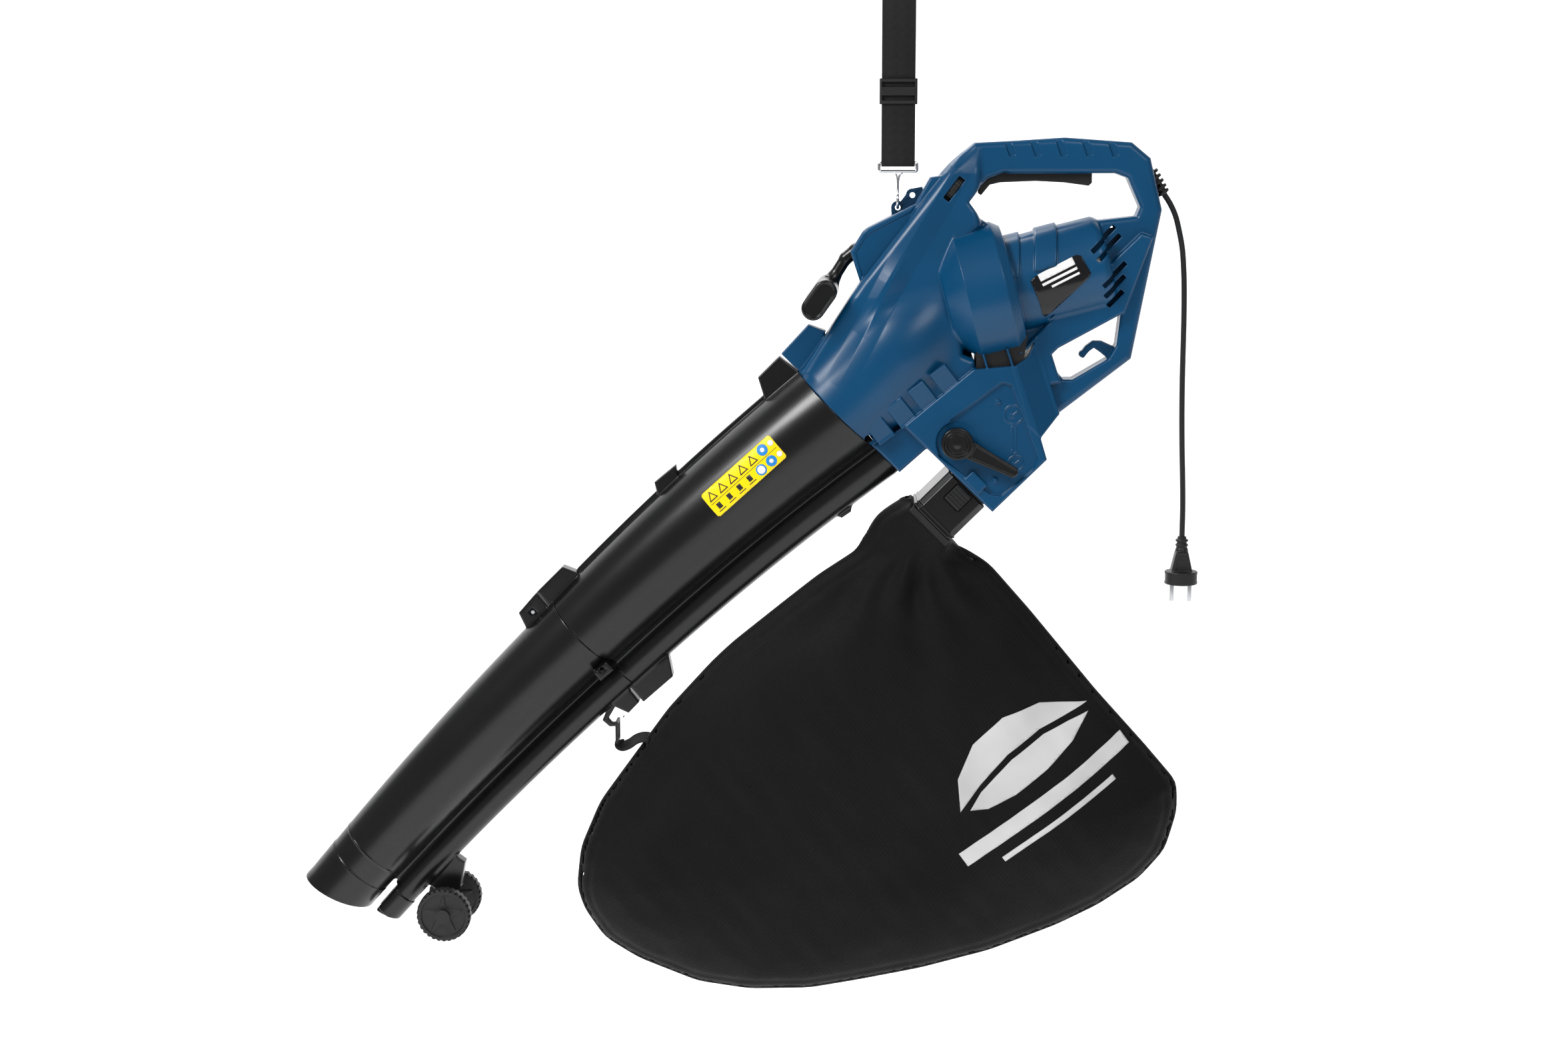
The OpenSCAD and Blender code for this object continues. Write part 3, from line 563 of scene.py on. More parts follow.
FRAME_OUTLINE = [(80, -204), (120, -202), (175, -198.5), (245, -203.5), (265, -220), (278, -274),
                 (249, -431), (168, -494), (120, -470), (62, -400), (20, -330), (22, -280), (47, -237)]
TRIGGER_WINDOW = [(77, -266), (84, -257), (96, -244), (112, -238), (228, -237.5), (240, -242),
                  (253, -271), (250, -279), (188, -286), (148, -294.5), (111, -306), (106, -290.5),
                  (88, -280.5)]
CORD_WINDOW = [(236, -380), (232, -416), (224, -430), (187, -452), (178, -452), (172, -445),
               (166, -426), (171, -418)]
CORD_HOOK = [(231, -419), (226, -432), (216, -424), (210, -420), (205, -424), (199, -431),
             (195, -428), (201, -419), (209, -413), (218, -413)]
NECK_OUTLINE = [(47, -237), (80, -204), (92, -206), (88, -262), (90, -292), (66, -318), (72, -424),
                (86, -430), (86, -446), (20, -500), (-40, -500), (-104, -447), (-76, -403), (-39, -346)]
POD_OUTLINE = [(-39, -351), (-50, -318), (-37, -297), (-32, -293), (18, -268), (34, -240), (48, -238),
               (40, -300), (0, -350)]
POD_PANEL = [(-37, -344), (-44, -319), (-32, -300), (14, -276), (24, -260), (-12, -338), (-22, -348)]
BRACE_OUTLINE = [(141, -411), (256, -298), (268, -302), (240, -381), (171, -419), (164, -426),
                 (174, -455), (150, -460)]
BOX_OUTLINE = [(8, -501), (81, -440), (126, -435), (153, -513), (160, -536), (103, -592.5), (34, -526)]
BOX_FLANK = [(120, -432), (147, -407), (173.5, -489), (153, -513), (140, -500)]
COVER_OUTLINE = [(-26, -524), (8, -501), (34, -526), (4, -553)]
POCKET_OUTLINE = [(60, -496), (112, -457), (119, -459), (147, -534), (143, -545), (111, -572),
                  (102, -571), (48, -531)]
GAP_OUTLINE = [(79, -424), (95, -431), (118, -431), (139, -419), (146, -411), (138, -428), (125, -436.5),
               (85, -440)]
LUG_OUTLINE = [(-125, -429), (-95, -396.5), (-76, -403), (-79, -412), (-104, -446)]
BADGE_RECESS = [(136, -342), (150, -336), (192, -311), (204, -332), (160, -386), (150, -388)]
VENTS = [((203, -317), 46, 36), ((209, -326), 46, 36), ((216, -353), 46, 34), ((218, -364), 46, 30),
         ((222, -374), 46, 22)]
VENT_WEB = [(165, -388), (248, -370), (254, -292), (180, -295)]
SCREW_HOLE = (-29, -515)
SCREW_SPOTS = [((86, -216), 19), ((236, -217), 19), ((262, -285), 19), ((239, -424), 19),
               ((160, -478), 34), ((62, -470), 45), ((-36, -330), 24), ((60, -285), 24)]
GRIP_MARKS = (118, 145, 172, 199, 226)


def neck_half(x, z):
    """The front body grows from the handle's width to the duct's."""
    return 19 + 6 * np.clip((-z - 212) / 24, 0, 1) + 14 * np.clip((-z - 236) / 130, 0, 1)


def duct_radius(s):
    """The suction duct, and its long fall into the handle's width."""
    return 59 + s / 118 - 47 * (0.5 - 0.5 * np.cos(np.pi * np.clip((s - 84) / 166, 0, 1)))


def flank_half(x, z):
    """The slanted side of the outlet box."""
    away = (x - 126) * 0.945 + (z + 435) * 0.327
    return 45 - 0.62 * np.clip(away, 0, 24)


def housing_form(block, side):
    """The housing's outer skin, with every recess that isn't a hole."""
    block.add(prism(FRAME_OUTLINE, 19, edge=7))
    block.cut(prism(TRIGGER_WINDOW, 60, corner=1.5), 7)
    block.cut(prism(CORD_WINDOW, 60, corner=1.0), 4)
    block.add(prism(NECK_OUTLINE, neck_half, edge=8, corner=-2), 3)
    block.cut(prism([(77, -266), (84, -257), (96, -244), (112, -238), (130, -262), (104, -291), (88, -280.5)],
                    60, corner=1.5), 5)
    block.add(turned_form(SEAM, SEAM_ANGLE - 180, 250, duct_radius), 9)
    crease(block, (74, -203), (-42, -402), 20, 4.2)
    crease(block, (10, -318), (-62, -458), 15, 3.0)
    block.add(prism(POD_OUTLINE, 23, edge=3), 1.5)
    block.cut(prism(POD_PANEL, 2.2, edge=0.8, middle=side * 24), 0.8, box=(-55, 40, -355, -250))
    block.add(prism(BRACE_OUTLINE, 29, edge=3), 2)
    drum_left, drum_right = step(DRUM, TILT, -25.5), step(DRUM, TILT, 25.5)
    block.add(cone(step(DRUM, TILT, -47.5), drum_left, 50, 72), 3)
    block.add(cone(drum_left, step(DRUM, TILT, 16), 72, 72, edge=0.6), 1)
    block.add(cone(step(DRUM, TILT, 16), drum_right, 72, 65, edge=0.6), 0.8)
    block.add(cone(step(DRUM, TILT, 20), step(DRUM, TILT, 128), 51, 51, edge=10), 3)
    for start in (26, 66):
        barrel_band(block, start)
    block.add(prism(BOX_FLANK, flank_half, edge=2), 2)
    block.add(prism(BOX_OUTLINE, 45, edge=2.5), 2)
    block.add(prism(COVER_OUTLINE, 31, edge=3, corner=-0.5), 4)
    block.add(cone(BLOW_SEAM, step(BLOW_SEAM, SEAM_ANGLE - 180, 60), 24, 24), 3)
    block.add(prism(LUG_OUTLINE, 11, edge=1.5), 1.5)
    block.cut(prism(GAP_OUTLINE, 90), 1)
    for a, b in (((91, -424), (98, -447)), ((116, -418), (124, -442))):
        angle = math.degrees(math.atan2(b[1] - a[1], b[0] - a[0]))
        block.add(prism(oblong(a, angle, math.dist(a, b), 2.4), 44, edge=0.6), 0.8, box=(80, 150, -450, -405))
    for i in range(4):
        add_ramp(block, i)
    for x in GRIP_MARKS:
        block.cut(prism(oblong((x - 5, -198), -70, 20, 4.2), 2.4, edge=1, middle=side * 19.3, corner=1), 0.8,
                  box=(95, 240, -225, -190))
    block.cut(prism(BADGE_RECESS, 4.5, edge=0.8, middle=side * 55), 1.0, box=(120, 225, -400, -300))
    block.cut(prism(oblong((146, -402), 45, 142, 1.8), 2.4, edge=0.8, middle=side * 30.5), 0.8,
              box=(130, 265, -420, -285))
    if side < 0:
        lever_pocket(block)
    else:
        block.cut(prism(POCKET_OUTLINE, 2, edge=1, middle=45, corner=2), 1.0, box=(20, 170, -600, -430))


def crease(block, a, b, width, height):
    """A raised sharp fold along a line of the neck."""
    length = math.dist(a, b)
    ux, uz = (b[0] - a[0]) / length, (b[1] - a[1]) / length

    def rise(x, z):
        along = (x - a[0]) * ux + (z - a[1]) * uz
        across = (z - a[1]) * ux - (x - a[0]) * uz
        ends = np.clip(along / 30, 0, 1) * np.clip((length - along) / 60, 0, 1)
        return height * ends * np.clip(1 - np.abs(across) / width, 0, 1)

    def rule(x, y, z):
        return rise(x, z) + 0 * y
    block.change(rule, lambda d, r: d - r, (-110, 110, -480, -195))


def barrel_band(block, start):
    """A raised band that winds round the motor's barrel."""
    corners = ((start, 75), (start + 24, 75), (start + 6, 12), (start - 18, 12))
    outline = [step(step(DRUM, TILT, along), TILT + 90, across) for along, across in corners]
    ring, flat = cone(step(DRUM, TILT, 25), step(DRUM, TILT, 118), 54.2, 54.2), prism(outline, 90)
    block.add(lambda x, y, z: rounded(ring(x, y, z), flat(x, y, z), 1.2), 0.8, box=(95, 240, -360, -280))


def add_ramp(block, i):
    """One of the four gussets between the duct and the outlet box."""
    angle = math.degrees(math.atan2(68, 90))
    foot = step((-17, -517), angle, 7 + 29 * i)
    c, s = math.cos(math.radians(angle)), math.sin(math.radians(angle))

    def rise(x, z):
        away = (z - foot[1]) * c - (x - foot[0]) * s
        return 42 + 8 * np.clip(away / 24, 0, 1.2)
    shape = oblong(step(foot, angle + 90, -4), angle + 90, 29, 20)
    block.add(prism(shape, rise, edge=1.0), 0.8, box=(-60, 110, -540, -400))


def lever_pocket(block):
    """The recess around the changeover lever, with its stops and direction marks."""
    area = (20, 170, -600, -430)
    floor = -41.5
    block.cut(prism(POCKET_OUTLINE, 3.5, edge=1.2, middle=-45, corner=3), 1.0, box=area)
    block.cut(disc(LEVER, -49.5, floor, 22, 1), 1.0, box=area)
    for dome in ((107, -474.5), (105, -558)):
        block.add(disc(dome, floor - 2.5, -36, 3, 1.4), 0.8, box=area)
    for centre, radius in (((124, -488), 10), ((127, -540), 8)):
        ring, core = disc(centre, floor - 0.9, -36, radius + 0.7, 0.3), disc(centre, -60, -30, radius - 0.7)
        block.add(lambda x, y, z, a=ring, b=core: np.maximum(a(x, y, z), -b(x, y, z)), 0.3, box=area)
        raised_bar(block, step(centre, 40, 5.5), 220, 11, area, floor)
        for turn in (30, -30):
            raised_bar(block, step(centre, 220, 5.5), 40 + turn, 5, area, floor)
    for x in (122.5, 126.5):
        raised_bar(block, (x, -501), -88, 28, area, floor)
    for end, turns in (((124, -499), (-60, -120)), ((125, -531), (60, 120))):
        for turn in turns:
            raised_bar(block, end, turn, 6, area, floor)
    block.add(prism(oblong((76, -552), -45, 24, 16), 2.4, edge=1.6, middle=-45.2, corner=-1), 0.8, box=area)


def raised_bar(block, start, angle, length, area, floor):
    block.add(prism(oblong(start, angle, length, 1.3), 0.9, edge=0.3, middle=floor), 0.3, box=area)


def housing_holes(block, side):
    for start, angle, length in VENTS:
        block.cut(prism(oblong(start, angle, length, 5), 60), 0.8, box=(190, 260, -385, -280))
    block.cut(disc(SCREW_HOLE, -90, 90, 4.3), 0.5, box=(-50, 0, -540, -500))
    block.cut(cone((282, -256), (255, -222), 8.6, 8.6), 0.4, box=(240, 286, -270, -205))
    block.cut(cone((-66, -334), (-30, -315), 8.4, 8.4), 0.4, box=(-60, 10, -345, -300))
    trigger_room = [(79, -264), (78, -246), (90, -232), (207, -232), (207, -249), (98, -250), (88, -263)]
    block.cut(prism(trigger_room, 9.2), 0.6, box=(60, 220, -275, -225))
    lug_slot = [(-9, -262), (-9, -284), (6, -292), (32, -276), (29, -250), (12, -250)]
    block.cut(prism(lug_slot, 2.7), 0.3, box=(-15, 40, -300, -240))
    connector = oblong(on_connector(-14), CONNECTOR_DIR, 40, 54.8)
    block.cut(prism(connector, 40.4), 0.3, box=(20, 150, -620, -500))
    block.cut(disc(LEVER, -90, 90, 6.2), 0, box=(40, 90, -545, -490))
    if side < 0:
        block.cut(prism(oblong(step((59, -252), 233, 14), 53, 28, 7.4), 30), 0.6, box=(35, 85, -280, -225))
    else:
        for spot, half in SCREW_SPOTS:
            block.cut(disc(spot, half - 3.2, half + 20, 4.2), 0.5)
            block.cut(disc(spot, half - 8, half + 20, 2.2), 0)


def housing_shell(side):
    """One moulded half: the outer skin less the same skin moved in by a wall."""
    y = (-80, 1.5) if side < 0 else (-1.5, 80)
    block = Block((-132, y[0], -604), (286, y[1], -190), FINE)
    housing_form(block, side)
    inside = block.d + WALL
    housing_holes(block, side)
    block.d = np.maximum(block.d, -inside)
    block.add(prism(VENT_WEB, 1.4, middle=side * 1.6), 0, box=(150, 262, -410, -290))
    hook = prism(CORD_HOOK, 6, edge=1.2, corner=0.3)
    block.add(hook, 1.0, box=(188, 245, -440, -400))
    block.add(disc((198, -427), -6, 6, 3.6, 1.2), 1.0, box=(188, 245, -440, -400))
    block.keep(lambda x, yy, z: SPLIT - side * yy + 0 * x)
    block.keep(lambda x, yy, z: (x - SEAM[0]) * math.cos(math.radians(SEAM_ANGLE))
               + (z - SEAM[1]) * math.sin(math.radians(SEAM_ANGLE)))
    inner = step(SEAM, SEAM_ANGLE - 180, 20)
    block.cut(cone(step(SEAM, SEAM_ANGLE, 5), inner, 56.4, 56.4), box=(-132, 30, -560, -400))
    inner = step(BLOW_SEAM, SEAM_ANGLE - 180, 20)
    block.cut(cone(step(BLOW_SEAM, SEAM_ANGLE, 5), inner, 21.4, 21.4), box=(-60, 60, -590, -480))
    return block


def finish_piece(piece, material, body, slot, *nodes):
    piece.data.materials.append(material)
    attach(piece, body)
    if nodes:
        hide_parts(*nodes)
    return piece


def add_housing(blue, gloss, white_ink):
    for name, side in (("left", -1), ("right", 1)):
        piece = housing_shell(side).mesh("shell_" + name, 0.42)
        finish_piece(piece, blue, "housing", "blue_plastic", "housing_" + name)
        if side < 0:
            add_badge(piece, gloss, white_ink)


# ------------------------------------------------------------------ tubes

MID = (-340, -734)
END = (-621, -1032)
BLOW_MID = (-294, -779)
BLOW_END = (-567, -1057)
MID_ANGLE = 224
TUBE_WALL = 2.2
TOP_LUG = [(-126, -430), (-149, -453), (-141, -479), (-100, -450)]
MID_LUG = [(-345, -668), (-363, -661), (-391, -689), (-370, -715)]
LOW_LUG = [(-392, -690), (-412, -713), (-402, -734), (-371, -716)]
MID_KEEL = [(-247, -758), (-242, -784), (-272, -816), (-292, -792)]
LOW_KEEL = [(-274, -818), (-284, -828), (-306, -818), (-320, -808), (-294, -793)]
SMALL_LUG = [(-238, -548), (-262, -568), (-259, -580), (-250, -592), (-226, -570), (-236, -560)]
SMALL_KEEL = [(-44, -575), (-48, -599), (-58, -606), (-72, -600), (-74, -582)]
SEAM_BOSS = [(-312, -759), (-326, -772), (-318, -781), (-303, -768)]
TAG_HOOK = [(-290, -805), (-312, -815), (-320, -836), (-312, -843), (-298, -842), (-293, -831),
            (-297, -830), (-301, -837.5), (-309, -837.8), (-313, -833), (-306, -820), (-290, -815)]


def heading(p, q):
    return math.degrees(math.atan2(q[1] - p[1], q[0] - p[0]))


def plane(p, angle):
    """Positive past a plane through p that faces along the angle."""
    c, s = math.cos(math.radians(angle)), math.sin(math.radians(angle))
    return lambda x, y, z: (x - p[0]) * c + (z - p[1]) * s + 0 * y


def longer(p, q, r_p, r_q, lead, tail, grow=0.0):
    """A duct's cone, carried on past both its ends."""
    length = math.dist(p, q)
    angle, taper = heading(p, q), (r_q - r_p) / length
    near, far = r_p - taper * lead + grow, r_q + taper * tail + grow
    return cone(step(p, angle, -lead), step(q, angle, tail), near, far)


def edge_point(p, q, r_p, r_q, share, proud):
    """A point on the upper edge of a duct, or standing proud of it."""
    angle = heading(p, q)
    base = step(p, angle, math.dist(p, q) * share)
    return step(base, angle - 90, r_p + (r_q - r_p) * share + proud)


def tube_rail(block, p, q, r_p, r_q, start, end, height=5.0):
    rail = [edge_point(p, q, r_p, r_q, start, -6), edge_point(p, q, r_p, r_q, start, height - 2),
            edge_point(p, q, r_p, r_q, start + 0.01, height), edge_point(p, q, r_p, r_q, end - 0.01, height),
            edge_point(p, q, r_p, r_q, end, height - 2), edge_point(p, q, r_p, r_q, end, -6)]
    block.add(prism(rail, 2.2, edge=0.8), 1.0)


def lug(block, outline, half=10.0, pocket=None):
    """A lug at its own place: the bow of the duct doesn't move it."""
    block.x, block.z = block.straight
    block.add(prism(outline, half, edge=1.6, corner=-0.2), 2.0)
    if pocket:
        square = [(pocket[0] + a, pocket[1] + b) for a, b in ((4.6, 0), (0, 4.6), (-4.6, 0), (0, -4.6))]
        block.cut(prism(square, 4, middle=-half, corner=0.5), 0.4)
        block.cut(disc(pocket, -half - 5, half + 5, 2.0), 0.2)
    block.x, block.z = block.bowed


def web_between(block, p, q, r, blow_p, blow_q):
    """The flat web that joins the two ducts of a tube."""
    web = [step(p, heading(p, blow_p), r - 12), blow_p, blow_q, step(q, heading(q, blow_q), r - 20)]
    block.add(prism(web, 12, edge=3), 5)


def hollow(block, main, blow):
    block.cut(longer(*main, 60, 60, -TUBE_WALL))
    bore, outer = longer(*blow, 60, 60, -TUBE_WALL), longer(*main, 80, 80)
    block.cut(lambda x, y, z: np.maximum(bore(x, y, z), -outer(x, y, z)))


def upper_tube():
    main, blow = (SEAM, MID, 59, 49), (BLOW_SEAM, BLOW_MID, 22.8, 17.8)
    block = Block((-48, -64, -92), (402, 64, 100), FINE, heading(SEAM, MID), SEAM)
    block.bow(SEAM, MID, 5.4)
    block.add(longer(*main, 14, 14))
    block.add(longer(*blow, 14, 14), 3)
    web_between(block, SEAM, MID, 59, BLOW_SEAM, BLOW_MID)
    tube_rail(block, *main, 0.10, 0.90)
    block.keep(lambda x, y, z: -plane(step(SEAM, SEAM_ANGLE, 0.3), SEAM_ANGLE)(x, y, z))
    block.keep(plane(step(MID, MID_ANGLE, -0.3), MID_ANGLE))
    for outline, half in ((TOP_LUG, 10), (MID_LUG, 10), (MID_KEEL, 10), (SMALL_LUG, 6), (SMALL_KEEL, 7)):
        lug(block, outline, half)
    block.add(cone(step(SEAM, SEAM_ANGLE, -32), step(SEAM, SEAM_ANGLE, 6), 56.1, 56.1))
    block.add(cone(step(BLOW_SEAM, SEAM_ANGLE, -32), step(BLOW_SEAM, SEAM_ANGLE, 6), 21.1, 21.1))
    hollow(block, main, blow)
    block.cut(cone(step(SEAM, SEAM_ANGLE, -60), step(SEAM, SEAM_ANGLE, 15), 53.9, 53.9))
    return block


def lower_tube():
    main, blow = (MID, END, 48.6, 38), (BLOW_MID, BLOW_END, 17.4, 15)
    block = Block((-48, -64, -76), (432, 64, 96), FINE, heading(MID, END), MID)
    block.bow(MID, END, 5.0)
    block.add(longer(*main, 14, 14))
    block.add(longer(*blow, 14, 4), 2.5)
    web = [MID, BLOW_MID, step(BLOW_MID, heading(BLOW_MID, BLOW_END), 350), step(MID, heading(MID, END), 358)]
    block.add(prism(web, 9, edge=3), 4)
    angle = heading(MID, END)
    for s, w in ((0.84, 1.6), (0.905, 1.6)):
        ring = step(MID, angle, math.dist(MID, END) * s)
        radius = 48.6 + (38 - 48.6) * s + 0.5
        block.add(cone(ring, step(ring, angle, w), radius, radius), 0.5)
    block.add(cone(step(MID, angle, math.dist(MID, END) * 0.905), step(END, angle, 12), 39.6, 38.7), 0.6)
    block.add(cone(step(BLOW_END, heading(BLOW_MID, BLOW_END), -30), BLOW_END, 16.4, 16.4), 0.6)
    block.add(prism([(-474, -1000), (-481, -1035), (-500, -1062), (-512, -1052), (-510, -1030), (-540, -1010),
                     (-508, -975)], 8, edge=1.5), 3)
    block.add(disc((-496.5, -1048.5), -26, 26, 8, 1), 2)
    block.add(prism(TAG_HOOK, 3, edge=0.8), 0.6)
    slot = oblong(step(END, angle, -2), angle + 180, 50, 6)
    shift = step((0, 0), angle + 90, 43)
    slot = [(x + shift[0], z + shift[1]) for x, z in slot]
    block.cut(prism(slot, 60), 1.5)
    block.keep(lambda x, y, z: -plane(step(MID, MID_ANGLE, 0.3), MID_ANGLE)(x, y, z))
    block.keep(plane(END, 244))
    block.keep(lambda x, y, z: np.minimum(plane(BLOW_END, 270)(x, y, z), plane((-585, -1005), 135)(x, y, z)))
    lug(block, LOW_LUG, 10, (-396, -712))
    lug(block, LOW_KEEL)
    lug(block, SEAM_BOSS, 44, (-317, -768))
    block.add(cone(step(MID, MID_ANGLE, -32), step(MID, MID_ANGLE, 6), 45, 45))
    hollow(block, main, blow)
    block.cut(cone(step(MID, MID_ANGLE, -60), step(MID, MID_ANGLE, 15), 42.8, 42.8))
    block.cut(disc((-496.5, -1048.5), -60, 60, 4.1))
    return block


LABEL_MID = (-161.5, -554)
LABEL_TURN = 42.3
LABEL_SIZE = (98.5, 30)


def add_label(tube, film, dark, blue_ink, white_ink):
    """The yellow label, with plain signs and no lettering."""
    w, h = LABEL_SIZE[0] / 2, LABEL_SIZE[1] / 2

    def put(points):
        return turned(points, LABEL_MID, LABEL_TURN)
    corners = [(-w + 2, -h), (w - 2, -h), (w, -h + 2), (w, h - 2),
               (w - 2, h), (-w + 2, h), (-w, h - 2), (-w, -h + 2)]
    finish_piece(inlay("label_film", [put(corners)], tube, 0.35, 0.3), film, "housing", "label_yellow",
                 "safety_label")
    signs = []
    for k in range(5):
        u = -40 + 14.5 * k
        signs += [[(u - 5.6, 2.4), (u + 5.6, 2.4), (u + 3.9, 3.5), (u - 3.9, 3.5)],
                  [(u - 5.6, 2.4), (u - 3.9, 3.5), (u, 10.4), (u, 12.6)],
                  [(u + 5.6, 2.4), (u, 12.6), (u, 10.4), (u + 3.9, 3.5)]]
    for k in range(4):
        u = -40 + 14.5 * k
        signs += [[(u - 4.6, -11.6), (u + 4.6, -11.6), (u + 4.6, -10.6), (u - 4.6, -10.6)],
                  [(u - 2.6, -9), (u + 2.6, -9), (u + 2.6, -2.5), (u - 2.6, -2.5)]]
    signs += [[(-w + 2.5, -0.4), (w - 2.5, -0.4), (w - 2.5, 0.1), (-w + 2.5, 0.1)]]
    printed = inlay("label_signs", [put(p) for p in signs], tube, 0.45, 0.15)
    finish_piece(printed, dark, "housing", "badge_black")
    discs = [put(ring((33.5, 7.4), 6)), put(ring((33.5, -7.4), 6)), put(ring((19, -7.4), 6))]
    finish_piece(inlay("label_discs", discs, tube, 0.45, 0.15), blue_ink, "housing", "blue_plastic")
    centres = [put(ring((33.5, 7.4), 2.4)), put(ring((33.5, -7.4), 2.4)), put(ring((19, -7.4), 4.4)),
               put(ring((45, 7.3), 3.0)), put(ring((45, -7.4), 3.0))]
    finish_piece(inlay("label_dots", centres, tube, 0.6, 0.15), white_ink, "housing", "label_yellow")


BADGE_OUTLINE = [(139, -347), (143, -342.5), (186, -320), (191, -320.5), (201.5, -338), (199.5, -343),
                 (163, -379), (156, -384), (152.5, -382), (150, -372)]


def add_badge(shell, gloss, white_ink):
    """The dark badge on the barrel, with plain bars in place of lettering."""
    plate = inlay("badge", [BADGE_OUTLINE], shell, 1.0, 1.4)
    finish_piece(plate, gloss, "housing", "badge_black", "badge_plate")
    bars = [[(-20, 3), (20, 3), (20, 11), (-20, 11)], [(-20, -2.5), (20, -2.5), (20, 0.3), (-20, 0.3)],
            [(-12, -8), (20, -8), (20, -5.6), (-12, -5.6)]]
    bars = [turned(points, (169, -341), 27) for points in bars]
    finish_piece(inlay("badge_bars", bars, shell, 1.2, 0.3), white_ink, "housing", "label_yellow")


def add_tubes(black, film, dark, blue_ink, white_ink):
    ducts = upper_tube().mesh("tube_upper", 0.5)
    upper = finish_piece(ducts, black, "housing", "black_plastic", "upper_tube")
    add_label(upper, film, dark, blue_ink, white_ink)
    finish_piece(lower_tube().mesh("tube_lower", 0.5), black, "housing", "black_plastic", "lower_tube")


# ------------------------------------------------------------------ small moulded pieces


GRIP = ((-75.5, -358.5), (-88, -376))     # the crossbar's middle line, seen from its end
STEM = ((-30, 0, -313), (-44, 0, -317), (-55, 0, -326), (-67, 0, -345), (-76, 0, -360))


def handle_block():
    """Front handle: a bent stem that flares into a crossbar with end caps."""
    block = Block((-108, -60, -396), (-24, 60, -300), 0.8)
    for a, b, radius in zip(STEM, STEM[1:], (7.6, 7.2, 6.6, 7.4)):
        block.add(capsule(a, b, radius), 1.5)
    block.add(pill(*GRIP, 12.6, -58, 58, 3.5), 7)
    for side in (-1, 1):
        end = side * 58
        outer = pill(*GRIP, 9.6, end - 1.5, end + 1.5)
        inner = pill(*GRIP, 8.2, end - 9, end + 9)
        block.cut(lambda x, y, z, a=outer, b=inner: np.maximum(a(x, y, z), -b(x, y, z)), 0.5)
        block.cut(pill(*GRIP, 9, end - 0.7, end + 2, 0.3), 0.4)
    return block


def stem_and_grip(black):
    """Stem and crossbar are cut from one form, at the crossbar's skin."""
    bar = pill(*GRIP, 13.2, -62, 62)
    grip, stem = handle_block(), handle_block()
    grip.keep(bar)
    stem.keep(lambda x, y, z: 0.15 - bar(x, y, z))
    finish_piece(grip.mesh("grip_bar", 0.5), black, "housing", "black_plastic", "handle_grip")
    finish_piece(stem.mesh("grip_stem", 0.5), black, "housing", "black_plastic", "handle_stem")


def trigger_block():
    outline = [(85, -257), (88, -259), (97, -248), (108, -245.5), (145, -244), (175, -245.5), (201, -249),
               (204.5, -246), (204.5, -228), (112, -226), (94, -226), (93, -238), (85, -250)]
    block = Block((80, -12, -264), (210, 12, -222), 0.5)
    block.add(prism(outline, 8.5, edge=1.8))
    for x in range(118, 196, 8):
        block.cut(prism(oblong((x, -252), 90, 9, 1.2), 5.5, edge=0.4), 0.4)
    block.cut(disc((99, -232), -20, 20, 2.1))
    return block


def lever_block():
    block = Block((42, -61, -560), (140, -45, -496), 0.45)
    block.add(disc(LEVER, -59, -46, 17, 1.4))
    tip = step(LEVER, LEVER_ANGLE, 69)
    arm = [step(LEVER, LEVER_ANGLE + 90, 11), step(tip, LEVER_ANGLE + 90, 5), step(tip, LEVER_ANGLE, 3),
           step(tip, LEVER_ANGLE - 90, 6), step(LEVER, LEVER_ANGLE - 90, 11)]
    block.add(prism(arm, 4.5, edge=1.4, middle=-52.5), 1.0)
    hollow_arm = [step(step(LEVER, LEVER_ANGLE, 19), LEVER_ANGLE + 90, 6.6), step(tip, LEVER_ANGLE + 90, 2.6),
                  step(tip, LEVER_ANGLE - 90, 3.2), step(step(LEVER, LEVER_ANGLE, 19), LEVER_ANGLE - 90, 6.6)]
    block.cut(prism(hollow_arm, 1.3, edge=0.4, middle=-57), 0.5)
    block.cut(disc(LEVER, -60.5, -56, 13.6, 0.2), 0.3)
    return block


def cap_block():
    block = Block((48, -61, -534), (81, -54, -501), 0.4)
    block.add(disc(LEVER, -59, -56, 13.4, 0.9))
    dome = capsule((LEVER[0], -44.5, LEVER[1]), (LEVER[0], -44.4, LEVER[1]), 15.2)
    block.add(dome, 0.5)
    ring, core = disc(LEVER, -60.5, -58.2, 10.6, 0.2), disc(LEVER, -62, -50, 9.8)
    block.cut(lambda x, y, z: np.maximum(ring(x, y, z), -core(x, y, z)), 0.3)
    block.keep(lambda x, y, z: -y - 60 + 0 * x + 0 * z)
    block.keep(lambda x, y, z: y + 56.1 + 0 * x + 0 * z)
    return block


CONNECTOR = (76, -569)
CONNECTOR_DIR = 225
LATCH = (66, -577.5)


def on_connector(s):
    return step(CONNECTOR, CONNECTOR_DIR, s)


def across_connector(x, z):
    """How far a point is from the connector's middle line."""
    c, s = math.cos(math.radians(CONNECTOR_DIR)), math.sin(math.radians(CONNECTOR_DIR))
    return np.abs((z - CONNECTOR[1]) * c - (x - CONNECTOR[0]) * s)


def chamfered(full, reach):
    """Half the connector's depth, less towards its chamfered long edges."""
    return lambda x, z: full - 0.9 * np.clip(across_connector(x, z) - reach, 0, 20)


def latch_square(half):
    return oblong(step(LATCH, CONNECTOR_DIR, -half), CONNECTOR_DIR, 2 * half, 2 * half)


